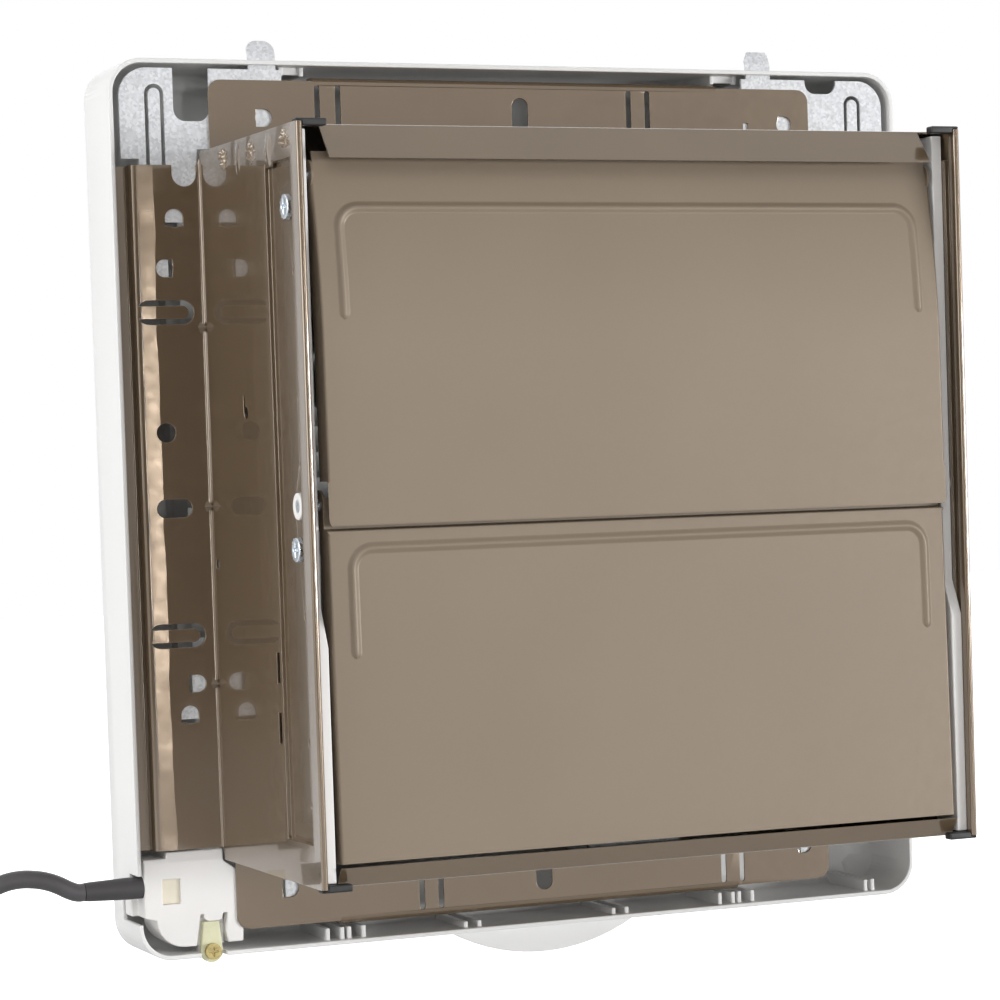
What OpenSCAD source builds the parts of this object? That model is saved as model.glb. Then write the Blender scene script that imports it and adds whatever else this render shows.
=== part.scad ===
// Wall exhaust fan with gravity shutters, in millimetres.
// X runs to the right and Z upwards for someone outdoors, and Y points into the room.
// The origin is the centre of the four mounting slots, on the flange face that meets the wall.

/* [Sleeve] */
// Outer width of the sleeve that goes into the wall opening
box_w = 240; // [232:1:244]
// Outer height of the sleeve
box_h = 244; // [238:1:248]
// Depth of the sleeve outdoors of the flange
box_d = 104; // [100:1:112]
// Thickness of the painted steel sheet
sheet = 0.8; // [0.6:0.1:1.0]
// Depth of the long channel pressed into each side
channel_depth = 1.4; // [1.0:0.1:1.8]
// Width of the folded hem at the front edge of each side
hem_w = 2.2; // [1.9:0.1:2.2]

/* [Flange] */
// Width of the side flange up to its rolled edge
side_flange_w = 22; // [20:1:23]
// How far each end of the side flange stops short of the sleeve's end
side_flange_inset = 4.4; // [3:0.2:8]
// Height of the top and bottom flange beyond the sleeve
top_flange_h = 25; // [24:0.5:26]
// How far each end of the top and bottom flange stops short of the sleeve's side
top_flange_inset = 4; // [2:0.5:7]
// Distance from the sleeve's side to the centre of the side mounting slot
side_slot_out = 13.1; // [12:0.1:14]
// Distance from the sleeve's top or bottom to the centre of its mounting slot
top_slot_out = 14; // [13:0.5:15]
// Length of a mounting slot
slot_l = 12.4; // [10:0.2:13]
// Width of a mounting slot
slot_w = 6.2; // [5:0.2:7]
// Diameter of the spare round hole above each side slot
spare_hole_d = 6.6; // [5:0.2:7]

/* [Cover] */
// Gap between the side flange's lip and the cover
cover_side_gap = 1; // [1:0.1:2.5]
// Gap between the top flange's lip and the cover
cover_end_gap = 3.8; // [3.7:0.1:4.6]
// How far the cover lies below the centre line
cover_drop = 0.8; // [0.6:0.1:0.8]
// Distance from the wall face to the front of the cover
cover_d = 37; // [36:1:42]
// Wall thickness of the cover
cover_wall = 1.6; // [1.4:0.1:1.8]
// Corner radius of the cover
cover_r = 12; // [10:1:14]
// How far the rim of the cover passes the flange face
rim_overhang = 1; // [0.5:0.1:1]
// Width of the opening that holds the grille
grille_w = 248; // [240:2:250]
// Number of slats in the grille
slat_count = 26; // [22:1:26]
// Thickness of a slat
slat_t = 1.6; // [1.2:0.1:2]
// Width of a slat across the air stream
slat_w = 13; // [10:1:13]

/* [Shutters] */
// Gap between a shutter blade and the rail beside it
blade_gap = 1.5; // [1.2:0.1:3]
// Thickness of a shutter blade
blade_t = 0.8; // [0.6:0.1:0.9]
// Diameter of a shutter hinge pin
pin_d = 4; // [3:0.5:4]
// Distance from a hinge pin to its crank pin
crank_r = 14; // [12:1:15]
// Diameter of a crank pin
crank_pin_d = 3; // [2.5:0.5:3]
// How far the shutters swing open, in degrees
shutter_open = 60; // [40:5:60]
// Width of the raised bead on a blade
bead_w = 4.3; // [3:0.1:5]
// Height of the raised bead
bead_h = 0.9; // [0.5:0.1:1]

/* [Fan and motor] */
// Diameter over the blade tips
wheel_d = 200; // [190:1:202]
// Number of fan blades
blade_count = 5; // [3:1:6]
// Pitch of the fan blades, in degrees
blade_pitch = 28; // [24:1:30]
// Diameter of the wheel hub
hub_d = 60; // [54:1:64]
// Gap between the blade tips and the orifice
tip_gap = 3; // [2:0.5:4]
// Diameter of the motor shaft
shaft_d = 8; // [6:1:8]
// Diameter of the motor casing
motor_d = 84; // [80:1:88]
// Length of the motor casing
motor_l = 44; // [42:1:46]
// Thickness of the motor casing
motor_wall = 1.5; // [1:0.1:1.6]
// Width of the strap that carries the motor
strap_w = 34; // [30:1:36]

/* [Lead and plug] */
// Diameter of the mains lead
cord_d = 6.2; // [6:0.1:6.4]
// Number of turns in the tied coil
coil_turns = 4; // [4]
// Radius of the outer turn of the coil
coil_r = 37.8; // [37:0.2:39]
// Diameter of the lead between the motor and the terminals
motor_lead_d = 5; // [4:0.5:5]

/* [Fits] */
// Running clearance round a pin or shaft, on the radius
run_gap = 0.05; // [0.03:0.01:0.08]
// Working clearance between moving parts
free_gap = 0.6; // [0.5:0.1:0.8]

/* [Hidden] */
$fn = 48;

steel = "#6b6053";
zinc = "#c4c8cb";
white = "#eceae6";
dark = "#2a2a2c";

half_w = box_w / 2;
half_h = box_h / 2;
in_w = half_w - sheet;
in_h = half_h - sheet;
front = -box_d;

// Channel pressed into the side plates, and the hem in front of it
channel_y0 = front + 7;
channel_y1 = front + 34;
channel_z0 = -half_h + 13;
channel_z1 = half_h - 10;
channel_face = half_w - channel_depth;
rail_face = channel_face - sheet;
hem_l = 4;

// Side flange with its rolled edge and set-back lip
roll_r = 2.8;
lip_y = 5.6;
lip_reach = 6.9;
roll_x = half_w + side_flange_w;
lip_x = roll_x + lip_reach;
side_flange_half = half_h - side_flange_inset;
slot_pitch_x = 2 * (half_w + side_slot_out);

// Top and bottom flange
flange_top = half_h + top_flange_h;
flange_r = 4.5;
roll_zone = 78;
roll_z = flange_top - 1.4;
top_flange_half = half_w - top_flange_inset;
slot_pitch_z = 2 * (half_h + top_slot_out);

// Cover planes
rim_y = -rim_overhang;
cover_in_x = lip_x + cover_side_gap;
cover_w = 2 * (cover_in_x + cover_wall);
cover_in_top = roll_z + roll_r + cover_end_gap;
cover_top = cover_in_top + cover_wall;
cover_h = 2 * (cover_top + cover_drop);
cover_in_bottom = -cover_h / 2 - cover_drop + cover_wall;
bezel_y = cover_d - cover_wall;
bevel = 7;
grille_half = grille_w / 2;
grille_gap = 0.3;
slat_tilt = 46;
ledge_y = bezel_y - 7.5;

// Zinc hook brackets, welded behind the flange
bracket_t = 1.2;
bracket_y = sheet;
bracket_x = lip_x - 1.5;
bracket_top = cover_in_top - 1.4;
hook_x = half_w - 24;
hook_w = 10;
hook_bend = cover_top + 2;
hook_top = hook_bend + 5.2;
hook_slot_w = hook_w + 2;
hook_slot_r = 1.6;
swing_y = bracket_y + bracket_t / 2;
swing_z = cover_top - cover_wall / 2;

// Run capacitor above the motor, and its two leads
cap_w = strap_w;
cap_t = 17;
cap_z0 = motor_d / 2 + 18;
cap_z1 = cap_z0 + 27;
cap_lead_d = 1.8;
cap_lead_x = 8.5;
grommet_r = motor_lead_d / 2 + 1.5;

// Rails
rail_t = 3.8;
rail_in = rail_face - rail_t;
rail_y0 = front + 3.5;
rail_set_back = front + 9;
rail_y1 = front + 18;
rail_half = half_h - 1.6;
screw_zs = [half_h - 26, -13.6];
screw_y = front + 14;
hole_y = front + 11;
rail_screw_d = 4;

// Shutter hinges, crank pins and blade sections
blade_half = rail_in - blade_gap;
hinge_y = front + 13.5;
upper_z = half_h - 16;
lower_z = 0.3;
crank_y = hinge_y + crank_r;
hood_y0 = front + 10;
hood_y1 = front + 1;
hood_z1 = half_h - 11.5;
hood_half = half_w - 11;
sill_y0 = front + 6;
sill_y1 = front + 1.5;
sill_z = -half_h + 6.5;
upper_face = [[front + 10.5, half_h - 14], [front + 4, half_h - 50], [front + 2.8, -5.5]];
lower_face = [[front + 6.4, 3], [front + 5.1, -6], [front + 2.5, -half_h + 7.6]];
upper_bead_z = upper_face[0][1] - 10.1;
lower_bead_z = lower_face[1][1] - 5.5;
tuck = 5.5;
fold_depth = 8;
tab_x = blade_half - blade_t;
link_t = 1.2;
link_w = 7;
link_x = tab_x - free_gap - link_t;
act_top = -half_h + 44;
link_low = act_top + 34;
link_slot_l = crank_r * (1 - cos(shutter_open)) + crank_pin_d + 2 * free_gap;
slot_play = 1.4;
plunger_pin_z = link_low + 5;

// Shutter actuator on the right side, its plunger and the fork on the plunger
rod_d = 5;
act_w = 17.5;
act_h = 38;
act_x1 = rail_face;
act_x0 = act_x1 - 24;
act_rivet_d = 3.2;
act_rivet_zs = [act_top - 9, act_top - act_h + 12];
plunger_x = link_x + link_t / 2;
fork_t = 1.4;
fork_x0 = link_x - free_gap - fork_t;
fork_x1 = link_x + link_t + free_gap + fork_t;
fork_top = plunger_pin_z + 3;
fork_floor = link_low - slot_play - 0.6;
spring_top = fork_floor - 2.6;

// Corner caps
cap_in = hood_half + 0.5;
cap_y0 = front + 0.6;
cap_y1 = sill_y0 - 1.2;
cap_low = rail_half + 0.2;
cap_top = half_h + 1;

// Motor and wheel stations along Y
strap_t = 1.5;
strap_y = front + 24;
screw_x = strap_w / 2 - 8;
screw_row = strap_y + 9;
motor_y0 = strap_y + strap_t;
motor_y1 = motor_y0 + motor_l;
shell_split = motor_y0 + motor_l * 0.55;
core_y0 = motor_y0 + 12;
core_y1 = motor_y1 - 10;
stator_r = motor_d / 2 - motor_wall;
stator_bore = 21.5;
air_gap = 0.4;
bearing_r = 8;
bearing_l = 8;
bolt_r = motor_d / 2 + 4;
bolt_d = 4;
lug_r = 5;
hub_y0 = motor_y1 + 4.5;
hub_y1 = hub_y0 + 24;
boss_r = 9;
drive_pin_d = 3;
shaft_y0 = motor_y0 + motor_wall;
shaft_y1 = hub_y1 + 7;
nut_r = 14;
blade_y0 = hub_y0 + 3;
blade_y1 = hub_y1 + 8;
orifice_r = wheel_d / 2 + tip_gap;
orifice_y0 = -24;
orifice_y1 = -1;
orifice_t = 2;

// Terminals in the lower left corner
term_x0 = -cover_in_x + 1.3;
term_x1 = term_x0 + 33;
block_y = sheet;
term_y1 = 18;
term_top = -side_flange_half - 0.6;
term_low = cover_in_bottom + 2.2;
clamp_x = term_x0 + 23.7;
clamp_z = term_low - 2.2;
clamp_r = 4;
clamp_y = block_y + 1.2;
clamp_t = 2.8;
clamp_boss_y = clamp_y + clamp_t + 4.4;
block_corner_r = 9.8;
clamp_screw_d = 3;
arm_z = term_low + 11;
window_x = term_x0 + 6.4;
window_w = 6.4;
window_z = arm_z + 4.4;
window_h = 8.6;

// Lead route between the motor and the terminals
exit_x = -motor_d / 2;
exit_y = motor_y0 + 7.5;
exit_z = -12;
lead_x = -half_w + 8;
lead_z = -half_h + 7;
lead_y = 11.5;
motor_lead_path = [
    [exit_x, exit_y, exit_z], [exit_x - 5, exit_y, exit_z], [exit_x - 10, exit_y, exit_z - 2],
    [exit_x - 20, exit_y, exit_z - 13], [lead_x + 36, exit_y, -48], [lead_x + 20, exit_y - 1, -78],
    [lead_x + 8, exit_y, lead_z + 16], [lead_x + 2, exit_y + 9, lead_z + 5],
    [lead_x, exit_y + 23, lead_z + 1], [lead_x, -30, lead_z], [lead_x, -12, lead_z],
    [lead_x + 0.5, 0, lead_z - 0.5], [lead_x + 3, 8, lead_z - 4], [lead_x + 4, 11, lead_z - 10],
    [lead_x + 2, lead_y, lead_z - 15], [lead_x - 1, lead_y, lead_z - 17],
    [term_x1, lead_y, lead_z - 17.2]
];

// Route of the mains lead from its sleeve to the coil
cord_z = term_low + 21.6;
cord_y = 4.6;
sleeve_end = term_x0 - 20.4;
sleeve_r = cord_d / 2 + 0.7;
drop_x = -226.8;
coil_y = 4.6;
cord_path = [
    [sleeve_end, cord_y, cord_z], [sleeve_end - 2, cord_y, cord_z], [-174, 4.6, -128.9],
    [-177.5, 4.6, -127], [-181, 4.6, -125.5],
    [-186, 4.6, -124.3], [-192, 4.6, -124], [-198, 4.6, -125.2], [-204, 4.6, -128],
    [-210, 4.6, -132.5], [-215.5, 4.6, -138.5], [-220, 4.6, -146], [-223.5, 4.6, -154.5],
    [-225.6, 4.6, -163.5], [-226.5, 4.6, -173], [drop_x, 4.6, -183], [drop_x, 4.6, -193],
    [drop_x, 4.6, -203], [drop_x, 4.6, -210], [drop_x, coil_y, -222 + cord_d]
];
coil_x = drop_x + coil_r;
coil_z = -222;
turn_gap = 0.6;
turn_step = cord_d + turn_gap;
coil_in = coil_r - turn_step * coil_turns / 2;
plug_lead = 18;
plug_top = coil_z - plug_lead;

// Shared shapes
module slab(x, y, z) {
    translate([x[0], y[0], z[0]]) cube([x[1] - x[0], y[1] - y[0], z[1] - z[0]]);
}

// A flat shape drawn in X and Z, t thick from y towards the room
module plate_xz(y, t) {
    translate([0, y + t, 0]) rotate([90, 0, 0]) linear_extrude(t) children();
}

// A flat shape drawn in Y and Z, from x0 to x1
module plate_yz(x0, x1) {
    translate([x0, 0, 0]) rotate([90, 0, 90]) linear_extrude(x1 - x0) children();
}

module rod_x(r, x0, x1, y, z) {
    translate([x0, y, z]) rotate([0, 90, 0]) cylinder(r = r, h = x1 - x0);
}

module rod_y(r, y0, y1, x, z) {
    translate([x, y0, z]) rotate([-90, 0, 0]) cylinder(r = r, h = y1 - y0);
}

module rod_z(r, z0, z1, x, y) {
    translate([x, y, z0]) cylinder(r = r, h = z1 - z0);
}

module ring_y(r0, r1, y0, y1) {
    difference() {
        rod_y(r1, y0, y1, 0, 0);
        rod_y(r0, y0 - 1, y1 + 1, 0, 0);
    }
}

module round_rect(x, z, r) {
    square([2 * x - 2 * r, 2 * z], center = true);
    square([2 * x, 2 * z - 2 * r], center = true);
    for (sx = [-1, 1], sz = [-1, 1]) translate([sx * (x - r), sz * (z - r)]) circle(r);
}

// A slot with round ends, l long and w wide, along the first direction
module slot_flat(l, w) {
    square([l - w, w], center = true);
    for (s = [-1, 1]) translate([s * (l - w) / 2, 0]) circle(w / 2);
}

// A half-round knock-out, its flat side at the origin and its tip along the first direction
module knockout(w, l) {
    translate([0, -w / 2]) square([l - w / 2, w]);
    translate([l - w / 2, 0]) circle(w / 2);
}

// Two parallel slits joined by a round end, round a tongue
module tongue_slit(l, w, line) {
    difference() {
        slot_flat(l, w);
        slot_flat(l - 2 * line, w - 2 * line);
        translate([-l / 2 - 1, -w / 2 + line]) square([l / 2, w - 2 * line]);
    }
}

// A tube swept along points, with n sides
function unit(v) = v / norm(v);
function heading(p, i) =
    let (a = max(i - 1, 0), b = min(i + 1, len(p) - 1)) unit(p[b] - p[a]);
function ring_at(c, t, up, r, n) =
    let (u = unit(cross(t, up)), v = cross(u, t))
    [for (k = [0:n - 1]) c + r * (cos(360 * k / n) * u + sin(360 * k / n) * v)];

module tube(path, r, n, up) {
    last = len(path) - 1;
    rings = [for (i = [0:last]) each ring_at(path[i], heading(path, i), up, r, n)];
    sides = [for (i = [0:last - 1], k = [0:n - 1])
        let (a = i * n + k, b = i * n + (k + 1) % n) each [[a, b, b + n], [a, b + n, a + n]]];
    ends = [
        [for (k = [n - 1:-1:0]) k],
        [for (k = [0:n - 1]) last * n + k]
    ];
    polyhedron(rings, concat(sides, ends), convexity = 10);
}

// Outline of the side flange and everything cut from it, drawn for the left side
module side_flange_cuts() {
    translate([-slot_pitch_x / 2, 0]) slot_flat(slot_l, slot_w);
    translate([-slot_pitch_x / 2 - 2, 26]) circle(spare_hole_d / 2);
    for (z = [67.2, -43.8]) translate([-roll_x + 8.2, z]) tongue_slit(20, 8.2, 1.8);
    translate([-half_w - 9.7, 96.9]) rotate(90) knockout(6.3, 5.7);
    translate([-half_w - 11, 82.3]) rotate(180) knockout(6, 5.7);
    translate([-half_w - 10, -60.5]) knockout(6, 5.8);
    translate([-half_w - 10.3, -73.8]) rotate(90) knockout(6.2, 5.8);
    translate([-half_w - 5.6, side_flange_half + 1]) {
        translate([-4.3, -4]) square([8.6, 6]);
        translate([0, -4]) circle(4.3);
    }
}

module side_wall_holes() {
    holes = [[75.5, 1.6], [35.4, 1.6], [13.6, 1.6], [-34.8, 1.9], [-75.6, 1.9],
             [channel_z0 + 13.1, 1.6]];
    for (h = holes) rod_x(h[1], -half_w - 1, -rail_face + 1, hole_y, h[0]);
    for (z = screw_zs) rod_x(rail_screw_d / 2 + run_gap, -half_w - 1, -rail_face + 1, screw_y, z);
    rod_x(4.6, -half_w - 1, -rail_face + 1, hinge_y, lower_z);
    rod_x(2, -half_w - 1, -in_w + 1, -42.2, 31.4);
    slab([-half_w - 1, -in_w + 1], [-41.3, -39.7], [31.4, 37]);
    for (z = [-52.5, -72.3])
        slab([-half_w - 1, -in_w + 1], [channel_y1 + 1.5, channel_y1 + 4.5], [z - 5, z + 5]);
    slab([-half_w - 1, -in_w + 1], [-6.2, -3.2], [-21, -18]);
}

module side_plate() {
    color(steel) difference() {
        union() {
            slab([-half_w, -in_w], [channel_y1, 0], [-half_h, half_h]);
            slab([-half_w, -in_w], [channel_y0, channel_y1], [channel_z1, half_h]);
            slab([-half_w, -in_w], [channel_y0, channel_y1], [-half_h, channel_z0]);
            slab([-channel_face, -rail_face], [channel_y0, channel_y1], [channel_z0, channel_z1]);
            for (y = [channel_y0, channel_y1 - sheet])
                slab([-half_w, -rail_face], [y, y + sheet], [channel_z0, channel_z1]);
            for (z = [channel_z0, channel_z1 - sheet])
                slab([-half_w, -rail_face], [channel_y0, channel_y1], [z, z + sheet]);
            slab([-half_w, -in_w], [front + hem_l, channel_y0], [-half_h, half_h]);
            slab([-half_w, -half_w + hem_w], [front + hem_w / 2, front + hem_l], [-half_h, half_h]);
            rod_z(hem_w / 2, -half_h, half_h, -half_w + hem_w / 2, front + hem_w / 2);
            slab([-roll_x, -in_w], [0, sheet], [-side_flange_half, side_flange_half]);
            difference() {
                rod_z(roll_r, -side_flange_half, side_flange_half, -roll_x, roll_r);
                rod_z(roll_r - sheet, -side_flange_half - 1, side_flange_half + 1, -roll_x, roll_r);
                slab([-roll_x, -roll_x + 10], [-1, 10], [-half_h, half_h]);
                slab([-roll_x - 10, -roll_x + 10], [roll_r, 10], [-half_h, half_h]);
            }
            slab([-roll_x - roll_r, -roll_x - roll_r + sheet], [roll_r, lip_y + sheet],
                 [-side_flange_half, side_flange_half]);
            slab([-lip_x, -roll_x - roll_r + sheet], [lip_y, lip_y + sheet],
                 [-side_flange_half, side_flange_half]);
        }
        plate_xz(-1, sheet + 2) side_flange_cuts();
        side_wall_holes();
    }
}

module side_plate_left() { side_plate(); }

module side_plate_right() {
    color(steel) difference() {
        mirror([1, 0, 0]) side_plate();
        for (z = act_rivet_zs)
            rod_x(act_rivet_d / 2 + run_gap, rail_face - 1, half_w + 1, crank_y, z);
    }
}

// Slits, knock-outs and the mounting slot shared by the top and bottom flange
module flange_shape(slits) {
    difference() {
        union() {
            translate([-top_flange_half, in_h]) square([2 * top_flange_half, top_flange_h / 2]);
            translate([-top_flange_half + flange_r, in_h])
                square([2 * (top_flange_half - flange_r), flange_top - in_h]);
            translate([-top_flange_half, in_h])
                square([2 * top_flange_half, flange_top - flange_r - in_h]);
            for (s = [-1, 1])
                translate([s * (top_flange_half - flange_r), flange_top - flange_r]) circle(flange_r);
        }
        translate([0, slot_pitch_z / 2]) rotate(90) slot_flat(slot_l, slot_w);
        for (x = slits) translate([x, half_h + 14]) rotate(90) slot_flat(19, 2);
        translate([-half_w + 21, half_h + 12]) knockout(6, 5.8);
        translate([half_w - 16.4, half_h + 12]) knockout(6, 5.2);
        translate([half_w - 31, half_h + 5]) square([2, 7.4]);
        translate([-roll_zone, roll_z]) square([2 * roll_zone, 10]);
    }
}

// Rolled-back edge along the middle of the top and bottom flange
module flange_roll() {
    difference() {
        rod_x(roll_r, -roll_zone, roll_zone, roll_r, roll_z);
        rod_x(roll_r - sheet, -roll_zone - 1, roll_zone + 1, roll_r, roll_z);
        slab([-roll_zone - 1, roll_zone + 1], [roll_r, 10], [roll_z - 10, roll_z + 10]);
        slab([-roll_zone - 1, roll_zone + 1], [-1, 10], [roll_z - 10, roll_z]);
    }
    slab([-roll_zone, roll_zone], [roll_r, 6.5], [roll_z + roll_r - sheet, roll_z + roll_r]);
}

module top_plate() {
    color(steel) {
        difference() {
            union() {
                slab([-in_w, in_w], [hood_y0, sheet], [in_h, half_h]);
                plate_xz(0, sheet) flange_shape([-76.5, -68.8, 42.7, 50.2]);
                flange_roll();
                plate_yz(-hood_half, hood_half) polygon([
                    [hood_y0, half_h], [hood_y1, hood_z1], [hood_y1 + sheet, hood_z1],
                    [hood_y0 + sheet, in_h]
                ]);
            }
            for (x = [-screw_x, screw_x])
                rod_z(bolt_d / 2 + run_gap, in_h - 1, half_h + 1, x, screw_row);
        }
    }
}

module bottom_plate() {
    color(steel) {
        difference() {
            union() {
                slab([-in_w, in_w], [sill_y0, sheet], [-half_h, -in_h]);
                mirror([0, 0, 1]) {
                    plate_xz(0, sheet) flange_shape([-47.2, -40, 72.1, 79.6]);
                    flange_roll();
                }
                plate_yz(-blade_half - 0.5, blade_half + 0.5) polygon([
                    [sill_y0, -half_h], [sill_y1, sill_z], [sill_y1 + sheet, sill_z],
                    [sill_y0 + sheet, -in_h]
                ]);
            }
            for (x = [-screw_x, screw_x])
                rod_z(bolt_d / 2 + run_gap, -half_h - 1, -in_h + 1, x, screw_row);
        }
    }
}

// Outline of a hook bracket, drawn for the left side
module bracket_shape(notch_depth) {
    difference() {
        union() {
            translate([-bracket_x, side_flange_half + 2])
                square([bracket_x - half_w + 4, bracket_top - 10 - side_flange_half - 2]);
            translate([-bracket_x + 10, side_flange_half + 2])
                square([bracket_x - 10 - hook_x + 7, bracket_top - side_flange_half - 2]);
            translate([-bracket_x + 10, bracket_top - 10]) circle(10);
            translate([-roll_x + 1, half_h - 22]) square([roll_x - 1 - half_w - 0.6, 22]);
        }
        translate([-half_w - 0.4, half_h - 32]) square([60, 33]);
        translate([-half_w - 8.2, bracket_top - notch_depth + 4]) square([12.8, notch_depth]);
        translate([-half_w - 4.2, bracket_top - notch_depth]) square([4.8, 5]);
        for (x = [-4.2, 0.6]) translate([-half_w + x, bracket_top - notch_depth + 4]) circle(4);
        translate([-half_w - 15, half_h + 5]) rotate(90) tongue_slit(36.4, 6.8, 1.3);
    }
}

// A hook with its top bent towards the room, cut to the outline that is given
module hook() {
    lean = 2.4;
    intersection() {
        plate_yz(-hook_x - hook_w / 2, -hook_x + hook_w / 2) polygon([
            [bracket_y, bracket_top - 1], [bracket_y + bracket_t, bracket_top - 1],
            [bracket_y + bracket_t, hook_bend],
            [bracket_y + bracket_t + lean, hook_top], [bracket_y + lean, hook_top],
            [bracket_y, hook_bend]
        ]);
        plate_xz(bracket_y - 1, bracket_t + lean + 2) translate([-hook_x, 0]) children();
    }
}

// The left hook is round at its top
module hook_bracket_left() {
    r = 3.8;
    flat_half = hook_w / 2 - r;
    color(zinc) {
        plate_xz(bracket_y, bracket_t) bracket_shape(18.1);
        hook() {
            translate([-hook_w / 2, bracket_top - 2]) square([hook_w, hook_top - r - bracket_top + 2]);
            translate([-flat_half, bracket_top]) square([2 * flat_half, hook_top - bracket_top]);
            for (s = [-1, 1]) translate([s * flat_half, hook_top - r]) circle(r);
        }
    }
}

// The right hook has one corner cut well back
module hook_bracket_right() {
    w = hook_w / 2;
    color(zinc) mirror([1, 0, 0]) {
        plate_xz(bracket_y, bracket_t) bracket_shape(5);
        hook() polygon([
            [-w, bracket_top - 2], [w, bracket_top - 2], [w, hook_top - 3.6], [w - 2, hook_top],
            [0.8 - w, hook_top], [-w, hook_top - 1.4]
        ]);
    }
}

module shutter_rail() {
    color(white) difference() {
        union() {
            plate_yz(-rail_face, -rail_in) polygon([
                [rail_y0, -rail_half], [rail_y1, -rail_half], [rail_y1, rail_half],
                [rail_set_back, rail_half], [rail_set_back, -33], [rail_y0, -45]
            ]);
            rod_x(4.4, -half_w + 0.4, -rail_face, hinge_y, lower_z);
        }
        for (z = [upper_z, lower_z]) rod_x(pin_d / 2 + run_gap, -half_w - 1, -rail_in + 1, hinge_y, z);
        for (z = screw_zs) rod_x(rail_screw_d / 2 + run_gap, -half_w - 1, -rail_in + 1, screw_y, z);
    }
}

module shutter_rail_left() { shutter_rail(); }
module shutter_rail_right() { mirror([1, 0, 0]) shutter_rail(); }

module rail_screws() {
    head_h = 1.9;
    color(zinc) for (s = [0, 1], z = screw_zs) mirror([s, 0, 0]) {
        difference() {
            rod_x(4.1, -channel_face - head_h, -channel_face, screw_y, z);
            slab([-channel_face - head_h - 1, -channel_face - head_h + 0.9],
                 [screw_y - 2.4, screw_y + 2.4], [z - 0.5, z + 0.5]);
            slab([-channel_face - head_h - 1, -channel_face - head_h + 0.9],
                 [screw_y - 0.5, screw_y + 0.5], [z - 2.4, z + 2.4]);
        }
        rod_x(rail_screw_d / 2, -channel_face, -rail_in - 0.2, screw_y, z);
    }
}

module edge_caps() {
    color(dark) for (s = [0, 1], t = [0, 1]) mirror([s, 0, 0]) mirror([0, 0, t]) {
        slab([-in_w, -cap_in], [front + hem_l, cap_y1], [cap_low, cap_top]);
        slab([-half_w + hem_w, -cap_in], [cap_y0, front + hem_l], [cap_low, cap_top]);
        slab([-half_w, -half_w + hem_w], [cap_y0, cap_y1], [half_h, cap_top]);
    }
}

module orifice_plate() {
    color(white) difference() {
        slab([-in_w, in_w], [orifice_y1 - orifice_t, orifice_y1], [-in_h, in_h]);
        rod_y(orifice_r, orifice_y0 - 1, orifice_y1 + 1, 0, 0);
        slab([-in_w - 1, -in_w + 13], [orifice_y0, orifice_y1 + 1], [-in_h - 1, -in_h + 12]);
    }
}

// Collar round the blade tips, welded to the back of the orifice plate
module orifice_collar() {
    color(white) ring_y(orifice_r, orifice_r + orifice_t, orifice_y0, orifice_y1 - orifice_t);
}

module motor_strap() {
    foot = 18;
    color(zinc) difference() {
        union() {
            slab([-strap_w / 2, strap_w / 2], [strap_y, strap_y + strap_t], [-in_h, in_h]);
            for (s = [-1, 1])
                translate([0, 0, s * (in_h - strap_t / 2)])
                    slab([-strap_w / 2, strap_w / 2], [strap_y, strap_y + foot], [-strap_t / 2, strap_t / 2]);
        }
        for (s = [-1, 1]) {
            rod_y(bolt_d / 2 + run_gap, strap_y - 1, motor_y0 + 1, 0, s * bolt_r);
            for (x = [-screw_x, screw_x])
                rod_z(bolt_d / 2 + run_gap, s * in_h - 4, s * in_h + 4, x, screw_row);
        }
    }
}

module strap_screws() {
    color(zinc) for (t = [0, 1], x = [-screw_x, screw_x]) mirror([0, 0, t]) {
        rod_z(bolt_d / 2, in_h - strap_t - 3, half_h, x, screw_row);
        rod_z(3.8, half_h, half_h + 1.8, x, screw_row);
        difference() {
            rod_z(3.6, in_h - strap_t - 2.6, in_h - strap_t, x, screw_row);
            rod_z(bolt_d / 2, in_h - strap_t - 5, in_h, x, screw_row);
        }
    }
}

module motor_bolts() {
    color(zinc) for (s = [-1, 1]) {
        rod_y(3.6, strap_y - 2.4, strap_y, 0, s * bolt_r);
        rod_y(bolt_d / 2, strap_y, shell_split + 9, 0, s * bolt_r);
        difference() {
            rod_y(3.6, shell_split + 4, shell_split + 7, 0, s * bolt_r);
            rod_y(bolt_d / 2, shell_split + 3, shell_split + 8, 0, s * bolt_r);
        }
    }
}

module shell_lugs(y0, y1) {
    for (s = [-1, 1]) difference() {
        union() {
            rod_y(lug_r, y0, y1, 0, s * bolt_r);
            slab([-lug_r, lug_r], [y0, y1], s > 0 ? [motor_d / 2 - 1, bolt_r] : [-bolt_r, -motor_d / 2 + 1]);
        }
        rod_y(bolt_d / 2 + run_gap, y0 - 1, y1 + 1, 0, s * bolt_r);
        rod_y(motor_d / 2 - motor_wall / 2, y0 - 1, y1 + 1, 0, 0);
    }
}

module motor_rear_shell() {
    color("#8d9093") {
        difference() {
            rod_y(motor_d / 2, motor_y0, shell_split, 0, 0);
            rod_y(stator_r, motor_y0 + motor_wall, shell_split + 1, 0, 0);
            rod_x(grommet_r, -motor_d, -30, exit_y, exit_z);
            for (x = [-cap_lead_x, cap_lead_x])
                rod_z(cap_lead_d / 2 + run_gap, 30, motor_d, x, exit_y);
        }
        ring_y(bearing_r, bearing_r + 2, motor_y0 + motor_wall, motor_y0 + motor_wall + bearing_l - 1);
        shell_lugs(motor_y0, shell_split);
    }
}

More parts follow.
